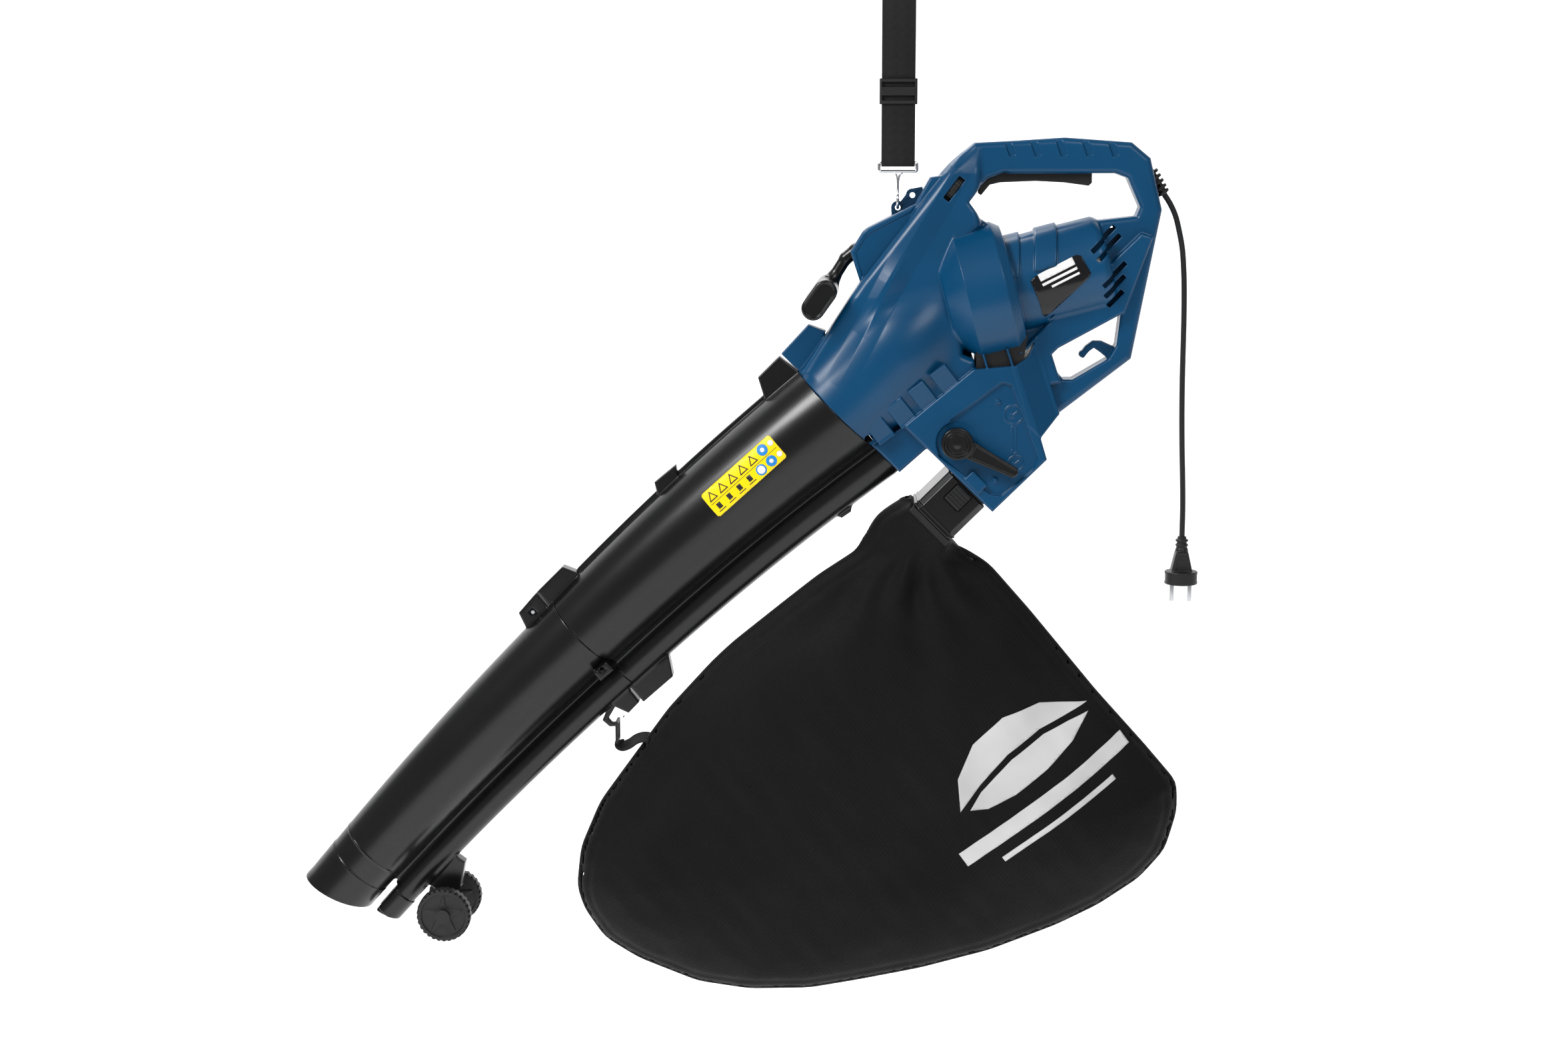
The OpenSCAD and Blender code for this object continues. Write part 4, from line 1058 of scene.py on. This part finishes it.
def connector_block():
    block = Block((10, -43, -640), (112, 43, -530), 0.7)
    block.add(prism(oblong(on_connector(-14), CONNECTOR_DIR, 15, 48), 37, edge=2))
    block.add(prism(oblong(on_connector(0.4), CONNECTOR_DIR, 52, 54), chamfered(40, 20.5), edge=1), 0)
    block.add(prism(oblong(on_connector(45.5), CONNECTOR_DIR, 2.4, 56), chamfered(41, 21.5), edge=0.6), 0.4)
    block.add(prism(oblong(on_connector(49.2), CONNECTOR_DIR, 2.8, 57), chamfered(41.6, 22), edge=0.8), 0.4)
    block.cut(prism(oblong(on_connector(-20), CONNECTOR_DIR, 90, 43), 34.5, edge=2))
    block.cut(prism(latch_square(10.8), 5, edge=0.6, middle=-42), 0.4)
    return block


def latch_block():
    block = Block((50, -45, -594), (82, -38, -561), 0.4)
    block.add(prism(latch_square(10.3), 1.4, edge=0.5, middle=-40.6))
    for i in range(-2, 3):
        rib = step(step(LATCH, CONNECTOR_DIR, 3.9 * i), CONNECTOR_DIR + 90, -10.2)
        block.add(prism(oblong(rib, CONNECTOR_DIR + 90, 20.4, 2.0), 1.0, edge=0.6, middle=-42.0), 0.5)
    return block


def wheel_block(y):
    block = Block((-529, y - 8.5, -1081), (-464, y + 8.5, -1016), 0.55)
    middle = (-496.5, -1048.5)
    block.add(disc(middle, y - 7, y + 7, 30, 2.2))
    for side in (-1, 1):
        block.cut(disc(middle, y + side * 5.2 - 0.2, y + side * 9, 24.5, 0.8), 0.8)
        if side < 0:
            block.cut(disc(middle, y - 9, y - 5.0, 24.5, 0.8), 0.8)
        block.add(disc(middle, y - 6.3, y + 6.3, 8.5, 0.8), 0.8)
        for k in range(5):
            angle = 90 + 72 * k
            tip = step(middle, angle, 21)
            spoke = [step(middle, angle - 40, 7), step(tip, angle - 90, 1.0), step(tip, angle + 90, 1.0),
                     step(middle, angle + 40, 7)]
            block.add(prism(spoke, 1.2, edge=0.4, middle=y + side * 5.2), 0.4)
    for k in range(30):
        angle = 12 * k
        for side in (-1, 1):
            notch = oblong(step(middle, angle + 6 * (side > 0), 27.8), angle + 6 * (side > 0), 6, 2.4)
            block.cut(prism(notch, 2.6, edge=0.3, middle=y + side * 5.6), 0.4)
    block.cut(disc(middle, y - 20, y + 20, 4.1))
    return block


def gland_block():
    start, angle = (262, -230), -55
    block = Block((248, -10, -266), (292, 10, -216), 0.4)
    block.add(cone(step(start, angle, -6), step(start, angle, 34), 5.6, 4.2, 0.6))
    for s, r in ((6.5, 9.0), (12.5, 8.7), (18.5, 8.2), (24.5, 7.6), (30, 6.8)):
        block.add(cone(step(start, angle, s), step(start, angle, s + 3.2), r, r - 0.2, 0.7), 0.6)
    for s, side in ((10.8, -1), (16.3, 1), (21.8, -1), (27.3, 1)):
        spot = step(start, angle, s + 0.6)
        block.cut(capsule((spot[0], side * 7, spot[1]), (spot[0], side * 3.6, spot[1]), 1.4), 0.3)
    block.cut(cone(step(start, angle, -8), step(start, angle, 36), 2.7, 2.7))
    return block


def square_at(p, half):
    return [(p[0] - half, p[1] - half), (p[0] + half, p[1] - half), (p[0] + half, p[1] + half),
            (p[0] - half, p[1] + half)]


def plug_block():
    x = CORD_X
    block = Block((x - 20, -20, -678), (x + 20, 20, -620), 0.5)
    block.add(cone((x, -624), (x, -642), 4.6, 6.6, 0.5))
    for s in (-627, -632, -637):
        block.add(cone((x, s), (x, s - 2.6), 6.6, 7.0, 0.8), 0.6)
    body = [(x - 7, -640), (x + 7, -640), (x + 12.5, -664), (x - 12.5, -664)]
    block.add(prism(body, 9.5, edge=3, corner=-0.5), 2)
    block.add(cone((x, -662), (x, -676), 17.8, 17.8, 1.2), 2.0)
    for side in (-1, 1):
        block.cut(prism(square_at((x + side * 21, -669), 4), 6, edge=1), 1.0)
        block.cut(prism(square_at((x, -655), 5), 1, edge=0.5, middle=side * 9.8, corner=1), 0.5)
    block.cut(cone((x, -620), (x, -640), 2.8, 2.8))
    return block


def slider_block():
    block = Block((-25, -9, -169), (25, 9, -132), 0.5)
    block.add(prism([(-23, -167), (23, -167), (23, -134), (-23, -134)], 7.4, edge=2.5, corner=-3.0))
    block.cut(lambda x, y, z: rounded(np.abs(x) - 18.6, np.abs(y) - 4.4, 1) + 0 * z)
    for z0, z1 in ((-161.5, -153.5), (-147.5, -139.5)):
        block.cut(prism([(-18.5, z0), (18.5, z0), (18.5, z1), (-18.5, z1)], 12, edge=1, corner=-1.5), 1.2)
    return block


def small_parts(black, matt, wheel):
    def place(block, name, share, material, body, slot, node):
        return finish_piece(block.mesh(name, share), material, body, slot, node)
    stem_and_grip(black)
    place(trigger_block(), "trigger_lever", 0.5, matt, "trigger", "black_matt", "trigger")
    place(lever_block(), "selector", 0.5, black, "changeover", "black_matt", "changeover_lever")
    place(cap_block(), "selector_cap", 0.5, black, "changeover", "black_matt", "lever_cap")
    place(connector_block(), "connector", 0.5, black, "housing", "black_plastic", "bag_connector")
    place(latch_block(), "latch", 0.5, matt, "latch", "black_matt", "latch_button")
    place(wheel_block(-35), "wheel_near", 0.6, wheel, "wheel_left", "wheel_plastic", "wheel_left")
    place(wheel_block(35), "wheel_far", 0.6, wheel, "wheel_right", "wheel_plastic", "wheel_right")
    place(slider_block(), "strap_adjuster", 0.5, matt, "strap", "black_matt", "strap_slider")


# ------------------------------------------------------------------ cord

CORD_X = 309.5
CORD_ROUTE = [(281.5, 0, -257.9), (288, 0, -268), (294, 0, -281), (298.5, 0, -298), (302, 0, -316),
              (304, 0, -338), (305, 0, -360), (305.5, 0, -390), (305.5, 0, -420), (305.5, 0, -455),
              (306, 0, -490), (307, 0, -525), (308.5, 0, -560), (309.5, 0, -592), (CORD_X, 0, -624)]


def spline_points(points, steps=6):
    """A smooth line through the points, in metres."""
    p = [Vector(q) * MM for q in points]
    p = [p[0] * 2 - p[1]] + p + [p[-1] * 2 - p[-2]]
    line = []
    for i in range(1, len(p) - 2):
        for k in range(steps):
            t = k / steps
            line.append(0.5 * (2 * p[i] + (p[i + 1] - p[i - 1]) * t
                               + (2 * p[i - 1] - 5 * p[i] + 4 * p[i + 1] - p[i + 2]) * t * t
                               + (3 * p[i] - p[i - 1] - 3 * p[i + 1] + p[i + 2]) * t ** 3))
    return line + [p[-2]]


def wire(name, line, radius, closed=False, sides=4):
    data = bpy.data.curves.new(name, "CURVE")
    data.dimensions = "3D"
    data.bevel_depth = radius * MM
    data.bevel_resolution = sides
    data.use_fill_caps = True
    spline = data.splines.new("POLY")
    spline.points.add(len(line) - 1)
    for point, place in zip(spline.points, line):
        point.co = (*place, 1)
    spline.use_cyclic_u = closed
    piece = bpy.data.objects.new(name, data)
    bpy.context.scene.collection.objects.link(piece)
    return piece


def add_cord(rubber):
    line = spline_points(CORD_ROUTE)
    cord = wire("supply_cord", line, 3)
    finish_piece(cord, rubber, "housing", "cord_rubber", "mains_cord")
    relief = gland_block().mesh("cord_relief", 0.5)
    gland = finish_piece(relief, rubber, "housing", "cord_rubber", "cord_gland")
    plug = finish_piece(plug_block().mesh("plug", 0.5), rubber, "housing", "cord_rubber", "plug_body")
    length = sum((b - a).length for a, b in zip(line, line[1:]))
    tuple(line[0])


# ------------------------------------------------------------------ strap

WEB = 35.5
WEB_THICK = 2.0


def web_path():
    """The middle line of the strap's closed loop, as (y, z) in mm."""
    r, low, bar = 15.0, 3.2, -225
    half = [(r * math.cos(math.radians(a)), r * math.sin(math.radians(a)) - 14) for a in range(0, 181, 6)]
    half += [(-r, -14 - 11 * k) for k in range(1, 8)]
    for k in range(1, 7):
        ease = 0.5 - 0.5 * math.cos(math.pi * k / 6)
        half.append((-r + (r - low) * ease, -96 - 36 * k / 6))
    half += [(-low, -132 - 11 * k) for k in range(1, 9)]
    for degrees in range(180, 361, 20):
        a = math.radians(degrees)
        half.append((low * math.cos(a), bar + low * math.sin(a)))
    mirror = [(-y, z) for y, z in half if y < 0 and z > bar and abs(y) > low - 0.01 and z < -14.5]
    return half + mirror[::-1]


def add_strap(material):
    path = web_path()
    count = len(path)
    mesh = bmesh.new()
    rings = []
    across = [(-1, -0.35), (-0.985, -0.8), (-0.95, -1), (0.95, -1), (0.985, -0.8), (1, -0.35),
              (1, 0.35), (0.985, 0.8), (0.95, 1), (-0.95, 1), (-0.985, 0.8), (-1, 0.35)]
    for i, (y, z) in enumerate(path):
        a, b = path[i - 1], path[(i + 1) % count]
        length = math.hypot(b[0] - a[0], b[1] - a[1])
        ny, nz = (b[1] - a[1]) / length, -(b[0] - a[0]) / length
        rings.append([mesh.verts.new((u * WEB / 2 * MM, (y + ny * v * WEB_THICK / 2) * MM,
                                      (z + nz * v * WEB_THICK / 2) * MM)) for u, v in across])
    for i in range(count):
        for k in range(len(across)):
            mesh.faces.new((rings[i][k], rings[i][(k + 1) % len(across)],
                            rings[(i + 1) % count][(k + 1) % len(across)], rings[(i + 1) % count][k]))
    bmesh.ops.recalc_face_normals(mesh, faces=mesh.faces)
    data = bpy.data.meshes.new("carry_strap")
    mesh.to_mesh(data)
    data.polygons.foreach_set("use_smooth", [True] * len(data.polygons))
    strap = bpy.data.objects.new("carry_strap", data)
    bpy.context.scene.collection.objects.link(strap)
    finish_piece(strap, material, "strap", "webbing", "strap_webbing")
    length = sum(math.dist(path[i], path[i - 1]) for i in range(count)) * MM


def add_hook(chrome):
    """The bent wire: a flat rectangle for the webbing and a stem with a round eye."""
    line = []
    for cx, cz, start in ((18, -227, 0), (-18, -227, 90), (-18, -232, 180), (18, -232, 270)):
        line += [(cx + 2 * math.cos(math.radians(start + a)), 0, cz + 2 * math.sin(math.radians(start + a)))
                 for a in range(0, 91, 15)]
    frame_wire = wire("hook_frame", [Vector(p) * MM for p in line], 1.7, closed=True)
    stem = [(-5, 0, -235.2), (-2.4, 0, -237), (-0.8, 0, -241), (0, 0, -247), (0, 0, -253)]
    twin = [(5, 0, -235.2), (2.4, 0, -237), (0.8, 0, -241), (0, 0, -247), (0, 0, -253)]
    eye = [(0, 0, -252)] + [(0, 5.5 * math.sin(math.radians(a)), -265 + 7.3 * math.cos(math.radians(a)))
                            for a in range(10, 351, 12)]
    pieces = [frame_wire,
              wire("hook_wire_a", spline_points(stem), 1.3),
              wire("hook_wire_b", spline_points(twin), 1.3),
              wire("hook_eye", spline_points(eye, 2), 1.6)]
    for piece in pieces:
        finish_piece(piece, chrome, "hook", "chrome", "strap_hook")


# ------------------------------------------------------------------ bag

BAG_OUTLINE = [(13, -592.5), (-15, -606), (-22, -625), (-40, -643), (-82, -671), (-122, -703),
               (-176, -747), (-198, -768), (-246, -821), (-298, -893), (-323, -928), (-345, -980),
               (-350, -1025), (-342, -1050), (-320, -1082), (-283, -1105), (-217, -1131), (-160, -1139),
               (-93, -1137),
               (-40, -1127), (30, -1112), (107, -1090), (180, -1060), (226, -1036), (270, -1005), (297, -973),
               (309, -930), (308, -898), (273, -857), (218, -796), (145, -708), (100, -657), (76, -642),
               (52.5, -632)]
BAG_HALF = 60


def even_outline(points, pace=7.0):
    """The same outline with even short sides and its corners just softened."""
    line = []
    for a, b in zip(points, points[1:] + points[:1]):
        count = max(1, round(math.dist(a, b) / pace))
        line += [(a[0] + (b[0] - a[0]) * k / count, a[1] + (b[1] - a[1]) * k / count) for k in range(count)]
    for _ in range(2):
        line = [tuple((line[i - 1][k] + 2 * line[i][k] + line[(i + 1) % len(line)][k]) / 4 for k in (0, 1))
                for i in range(len(line))]
    return line


BAG_EDGE = even_outline(BAG_OUTLINE)


def ripple(x, z, seed, count, wave, lean=None):
    """Soft seeded folds: a sum of long waves, all of one lean where it is given."""
    chance = np.random.RandomState(seed)
    total = 0
    for _ in range(count):
        if lean is None:
            angle = chance.uniform(0, math.pi)
        else:
            angle = math.radians(lean + chance.uniform(-16, 16))
        size = wave * chance.uniform(0.7, 1.5)
        across = x * math.sin(angle) - z * math.cos(angle)
        along = x * math.cos(angle) + z * math.sin(angle)
        sway = 1.3 * np.sin(along / (3.1 * size))
        total = total + np.sin(across / size * 2 * math.pi + sway + chance.uniform(0, 6))
    return total / count


def bag_half(x, z, seed):
    """Half thickness of the hanging bag inside its outline, with the cloth's folds."""
    inside = np.maximum(-outline_distance(BAG_EDGE, x, z), 0)
    crown = np.sqrt(np.clip(1 - (1 - np.clip(inside / 150, 0, 1)) ** 2, 0, 1))
    fuller = 0.74 + 0.26 * np.clip((-z - 690) / 260, 0, 1)
    fade = np.clip(inside / 45, 0, 1)
    away = np.hypot(x - 33, z + 612)
    turn = np.arctan2(z + 612, x - 33)
    near_neck = np.exp(-away / 150) * np.clip(away / 50, 0, 1)
    gathers = 5.5 * near_neck * np.sin(turn * 15 + 1.4 * np.sin(away / 31) + seed)
    pulls = 4.5 * np.exp(-away / 300) * np.sin(turn * 7 + 0.8 * np.sin(away / 60) + 2.0 * seed)
    folds = 6.0 * ripple(x, z, seed, 5, 210) + 3.0 * ripple(x, z, seed + 1, 6, 90, 58)
    slack = 1.0 * ripple(x, z, seed + 2, 6, 36)
    puckers = 1.3 * np.exp(-inside / 22) * np.clip(inside / 5, 0, 1) * ripple(x, z, seed + 3, 8, 22)
    hem = 1.5 * np.exp(-((inside - 12) / 2.6) ** 2)
    return (BAG_HALF - 9) * crown * fuller + fade * (gathers + pulls + folds + slack) + puckers - hem


def neck_depth(x, z):
    """Half the depth of the sleeve round the connector, which sinks into the bag."""
    c, s = math.cos(math.radians(CONNECTOR_DIR)), math.sin(math.radians(CONNECTOR_DIR))
    away = (x - CONNECTOR[0]) * c + (z - CONNECTOR[1]) * s
    return 44 - 0.75 * np.clip(away - 56, 0, 60)


def bag_block():
    block = Block((-358, -72, -1148), (318, 72, -586), 2.5)
    x, z = block.x[:, :, 0:1], block.z[0:1, :, :]
    flat = outline_distance(BAG_EDGE, x, z)
    near, far = bag_half(x, z, 11), bag_half(x, z, 29)
    thick = np.maximum(np.where(block.y < 0, near, far), 3.0)
    inside = (np.abs(block.y) - thick) * 0.85
    outside = np.hypot(np.maximum(flat, 0), block.y) - 3.0
    block.d = np.where(flat < 0, np.minimum(inside, 40), outside).astype(np.float32)
    block.add(prism(oblong(on_connector(53.4), CONNECTOR_DIR, 60, 60), neck_depth, edge=12), 34)
    block.cut(prism(oblong(on_connector(41), CONNECTOR_DIR, 11.8, 130), 80))
    block.skin = block.d.copy()
    block.d = np.maximum(block.d, -(block.d + 2 * SHELL_MIDDLE))
    block.cut(prism(oblong(on_connector(50), CONNECTOR_DIR, 14, 52), 37, edge=4), 1)
    return block


def add_bag(cloth, trim, webbing, print_ink):
    bag = bag_block().mesh("leaf_bag")
    smooth = bag.modifiers.new("smooth", "SMOOTH")
    smooth.iterations = 2
    apply_modifiers(bag)
    finish_piece(bag, cloth, "housing", "bag_cloth", "dust_bag")
    seam = [Vector((x, 0, z)) * MM for x, z in BAG_EDGE]
    finish_piece(wire("bag_piping", seam, 2.9, closed=True), trim, "housing", "bag_cloth")
    add_emblem(bag, print_ink)
    tether(webbing)


EMBLEM_MID = (139, -878)
EMBLEM_TURN = 37
EMBLEM_SCALE = 1.2


def turned(points, middle, angle):
    """A drawing's own points, turned and put in its place."""
    c, s = math.cos(math.radians(angle)), math.sin(math.radians(angle))
    return [(middle[0] + u * c - v * s, middle[1] + u * s + v * c) for u, v in points]


def ring(middle, radius, count=20):
    return [(middle[0] + radius * math.cos(2 * math.pi * k / count),
             middle[1] + radius * math.sin(2 * math.pi * k / count)) for k in range(count)]


def inlay(name, outlines, target, lift, thick=0.3, cell=3.0):
    """Thin plates in the outlines, laid on the near side of another piece."""
    mesh = bmesh.new()
    for outline in outlines:
        mesh.faces.new([mesh.verts.new((x * MM, 0, z * MM)) for x, z in outline])
    bmesh.ops.triangulate(mesh, faces=mesh.faces[:])
    for axis in (0, 2):
        places = [v.co[axis] / MM for v in mesh.verts]
        normal = Vector((axis == 0, 0, axis == 2))
        for k in range(int(min(places) / cell), int(max(places) / cell) + 1):
            everything = mesh.verts[:] + mesh.edges[:] + mesh.faces[:]
            bmesh.ops.bisect_plane(mesh, geom=everything, plane_co=normal * (k * cell * MM), plane_no=normal)
    data = target.data
    skin = BVHTree.FromPolygons([v.co for v in data.vertices], [p.vertices[:] for p in data.polygons])
    for v in mesh.verts:
        hit, normal, _, _ = skin.ray_cast(Vector((v.co.x, -0.2, v.co.z)), Vector((0, 1, 0)))
        v.co = hit + normal * (lift * MM * (-1 if normal.y > 0 else 1))
    bmesh.ops.recalc_face_normals(mesh, faces=mesh.faces)
    if sum(f.normal.y * f.calc_area() for f in mesh.faces) > 0:
        bmesh.ops.reverse_faces(mesh, faces=mesh.faces)
    data = bpy.data.meshes.new(name)
    mesh.to_mesh(data)
    data.polygons.foreach_set("use_smooth", [True] * len(data.polygons))
    piece = bpy.data.objects.new(name, data)
    bpy.context.scene.collection.objects.link(piece)
    solid = piece.modifiers.new("solid", "SOLIDIFY")
    solid.thickness = thick * MM
    solid.offset = -1
    apply_modifiers(piece)
    return piece


def add_emblem(bag, ink):
    """A plain generic print: a leaf in two halves over a slanted bar and a thin line."""
    upper = [(-66, 4), (-50, 30), (-20, 48), (16, 52), (50, 42),
             (84, 14), (60, 18), (36, 23), (0, 22), (-36, 14)]
    lower = [(-58, 0), (-40, 8), (0, 16), (36, 17), (60, 12),
             (80, 7), (54, -4), (20, -10), (-16, -12), (-44, -8)]
    bar = [(-90, -26), (92, -26), (92, -40), (-90, -40)]
    line = [(-60, -51), (64, -51), (64, -56), (-60, -56)]
    outlines = [turned([(u * EMBLEM_SCALE, v * EMBLEM_SCALE) for u, v in points], EMBLEM_MID, EMBLEM_TURN)
                for points in (upper, lower, bar, line)]
    finish_piece(inlay("bag_print", outlines, bag, 0.5, 0.4, 4.0), ink, "housing", "bag_cloth")


STRIP_SECTION = ((-1, -0.6), (-0.96, -1), (0.96, -1), (1, -0.6),
                 (1, 0.6), (0.96, 1), (-0.96, 1), (-1, 0.6))    # in halves of width and thickness


def strip(name, line, width, thick, lean):
    """Flat webbing along a line in the XZ plane, its width along Y and leant about the line."""
    cl, sl = math.cos(math.radians(lean)), math.sin(math.radians(lean))
    mesh = bmesh.new()
    rings = []
    for i, p in enumerate(line):
        a, b = line[max(i - 1, 0)], line[min(i + 1, len(line) - 1)]
        angle = math.atan2(b[1] - a[1], b[0] - a[0]) + math.pi / 2
        nx, nz = math.cos(angle), math.sin(angle)
        rings.append([mesh.verts.new(((p[0] + (s * thick * cl + y * width * sl) * nx / 2) * MM,
                                      (y * width * cl - s * thick * sl) / 2 * MM,
                                      (p[1] + (s * thick * cl + y * width * sl) * nz / 2) * MM))
                      for y, s in STRIP_SECTION])
    for a, b in zip(rings, rings[1:]):
        for k in range(8):
            mesh.faces.new((a[k], a[(k + 1) % 8], b[(k + 1) % 8], b[k]))
    mesh.faces.new(rings[0][::-1])
    mesh.faces.new(rings[-1])
    bmesh.ops.recalc_face_normals(mesh, faces=mesh.faces)
    data = bpy.data.meshes.new(name)
    mesh.to_mesh(data)
    piece = bpy.data.objects.new(name, data)
    bpy.context.scene.collection.objects.link(piece)
    return piece


def tether(webbing):
    """The bag's loop, from the clip on the tube's hook to the seam."""
    line = [(-303, -857), (-303.5, -861.5), (-299, -863.5), (-292, -861), (-285, -856), (-278, -853.5),
            (-272, -853.5), (-268.6, -856), (-268, -862)]
    path = [(p.x / MM, p.z / MM) for p in spline_points([(x, 0, z) for x, z in line], 5)]
    piece = strip("bag_loop", path, 18, 1.8, 24)
    finish_piece(piece, webbing, "housing", "webbing", "bag_tether")
    length = sum(math.dist(a, b) for a, b in zip(path, path[1:])) * MM


# ------------------------------------------------------------------ main

SWEEP = (0.93, 0.93, 0.93)


def add_stage():
    """A pale sweep: floor and backdrop in one bent sheet."""
    mesh = bmesh.new()
    profile = [(-3, 0)] + [(2.5 + 1.5 * math.sin(math.radians(a)), 1.5 - 1.5 * math.cos(math.radians(a)))
                           for a in range(0, 91, 6)] + [(4, 7)]
    rows = [[mesh.verts.new((x, y, z - 1.42)) for x in (-8, 8)] for y, z in profile]
    for a, b in zip(rows, rows[1:]):
        face = mesh.faces.new((a[0], a[1], b[1], b[0]))
        face.smooth = True
    data = bpy.data.meshes.new("sweep")
    mesh.to_mesh(data)
    sweep = bpy.data.objects.new("sweep", data)
    bpy.context.scene.collection.objects.link(sweep)
    paint, tree, shader = new_material("sweep_paint", SWEEP, 0.9, specular=0.1)
    shader.inputs["Emission Color"].default_value = (1, 1, 1, 1)
    shader.inputs["Emission Strength"].default_value = 0.62
    spread(tree, shader, noise_node(tree, coordinates(tree), 4.0), "Fac", "Roughness", 0.85, 0.95)
    data.materials.append(paint)


def add_world(strength):
    world = bpy.data.worlds.new("studio")
    world.use_nodes = True
    world.node_tree.nodes["Background"].inputs["Color"].default_value = (1, 1, 1, 1)
    world.node_tree.nodes["Background"].inputs["Strength"].default_value = strength
    bpy.context.scene.world = world


WORLD_STRENGTH = 0.3
LIGHTS = (("key", (-1.7, -1.5, 1.3), 0.9, 74),      # name, place in m, size in m, power in W
          ("front", (1.1, -2.3, 1.4), 1.2, 30),
          ("rim", (-0.9, 1.4, 1.6), 1.4, 40))


def main():
    add_camera()
    bpy.context.scene.view_settings.view_transform = "Standard"
    rubber = cord_rubber()
    add_cord(rubber)
    add_stage()
    add_world(WORLD_STRENGTH)
    for light in LIGHTS:
        add_light(*light)
    blue, black, matt = blue_plastic(), black_plastic(), black_matt()
    webbing, cloth, gloss = black_webbing(), bag_cloth(), badge_gloss()
    white = printed_ink("white_print", (0.62, 0.62, 0.62), (0.72, 0.72, 0.71))
    add_housing(blue, gloss, white)
    add_tubes(black, label_film(), printed_ink("dark_print", (0.01, 0.01, 0.01), (0.02, 0.02, 0.02)),
              printed_ink("blue_print", (0.01, 0.18, 0.5), (0.015, 0.21, 0.55)), white)
    small_parts(black, matt, wheel_plastic())
    add_strap(webbing)
    add_hook(chrome())
    add_bag(cloth, bag_trim(), webbing, printed_ink("bag_ink", (0.42, 0.42, 0.42), (0.55, 0.55, 0.55), 0.6))
    dress_nodes(blue, black, matt, rubber)


main()
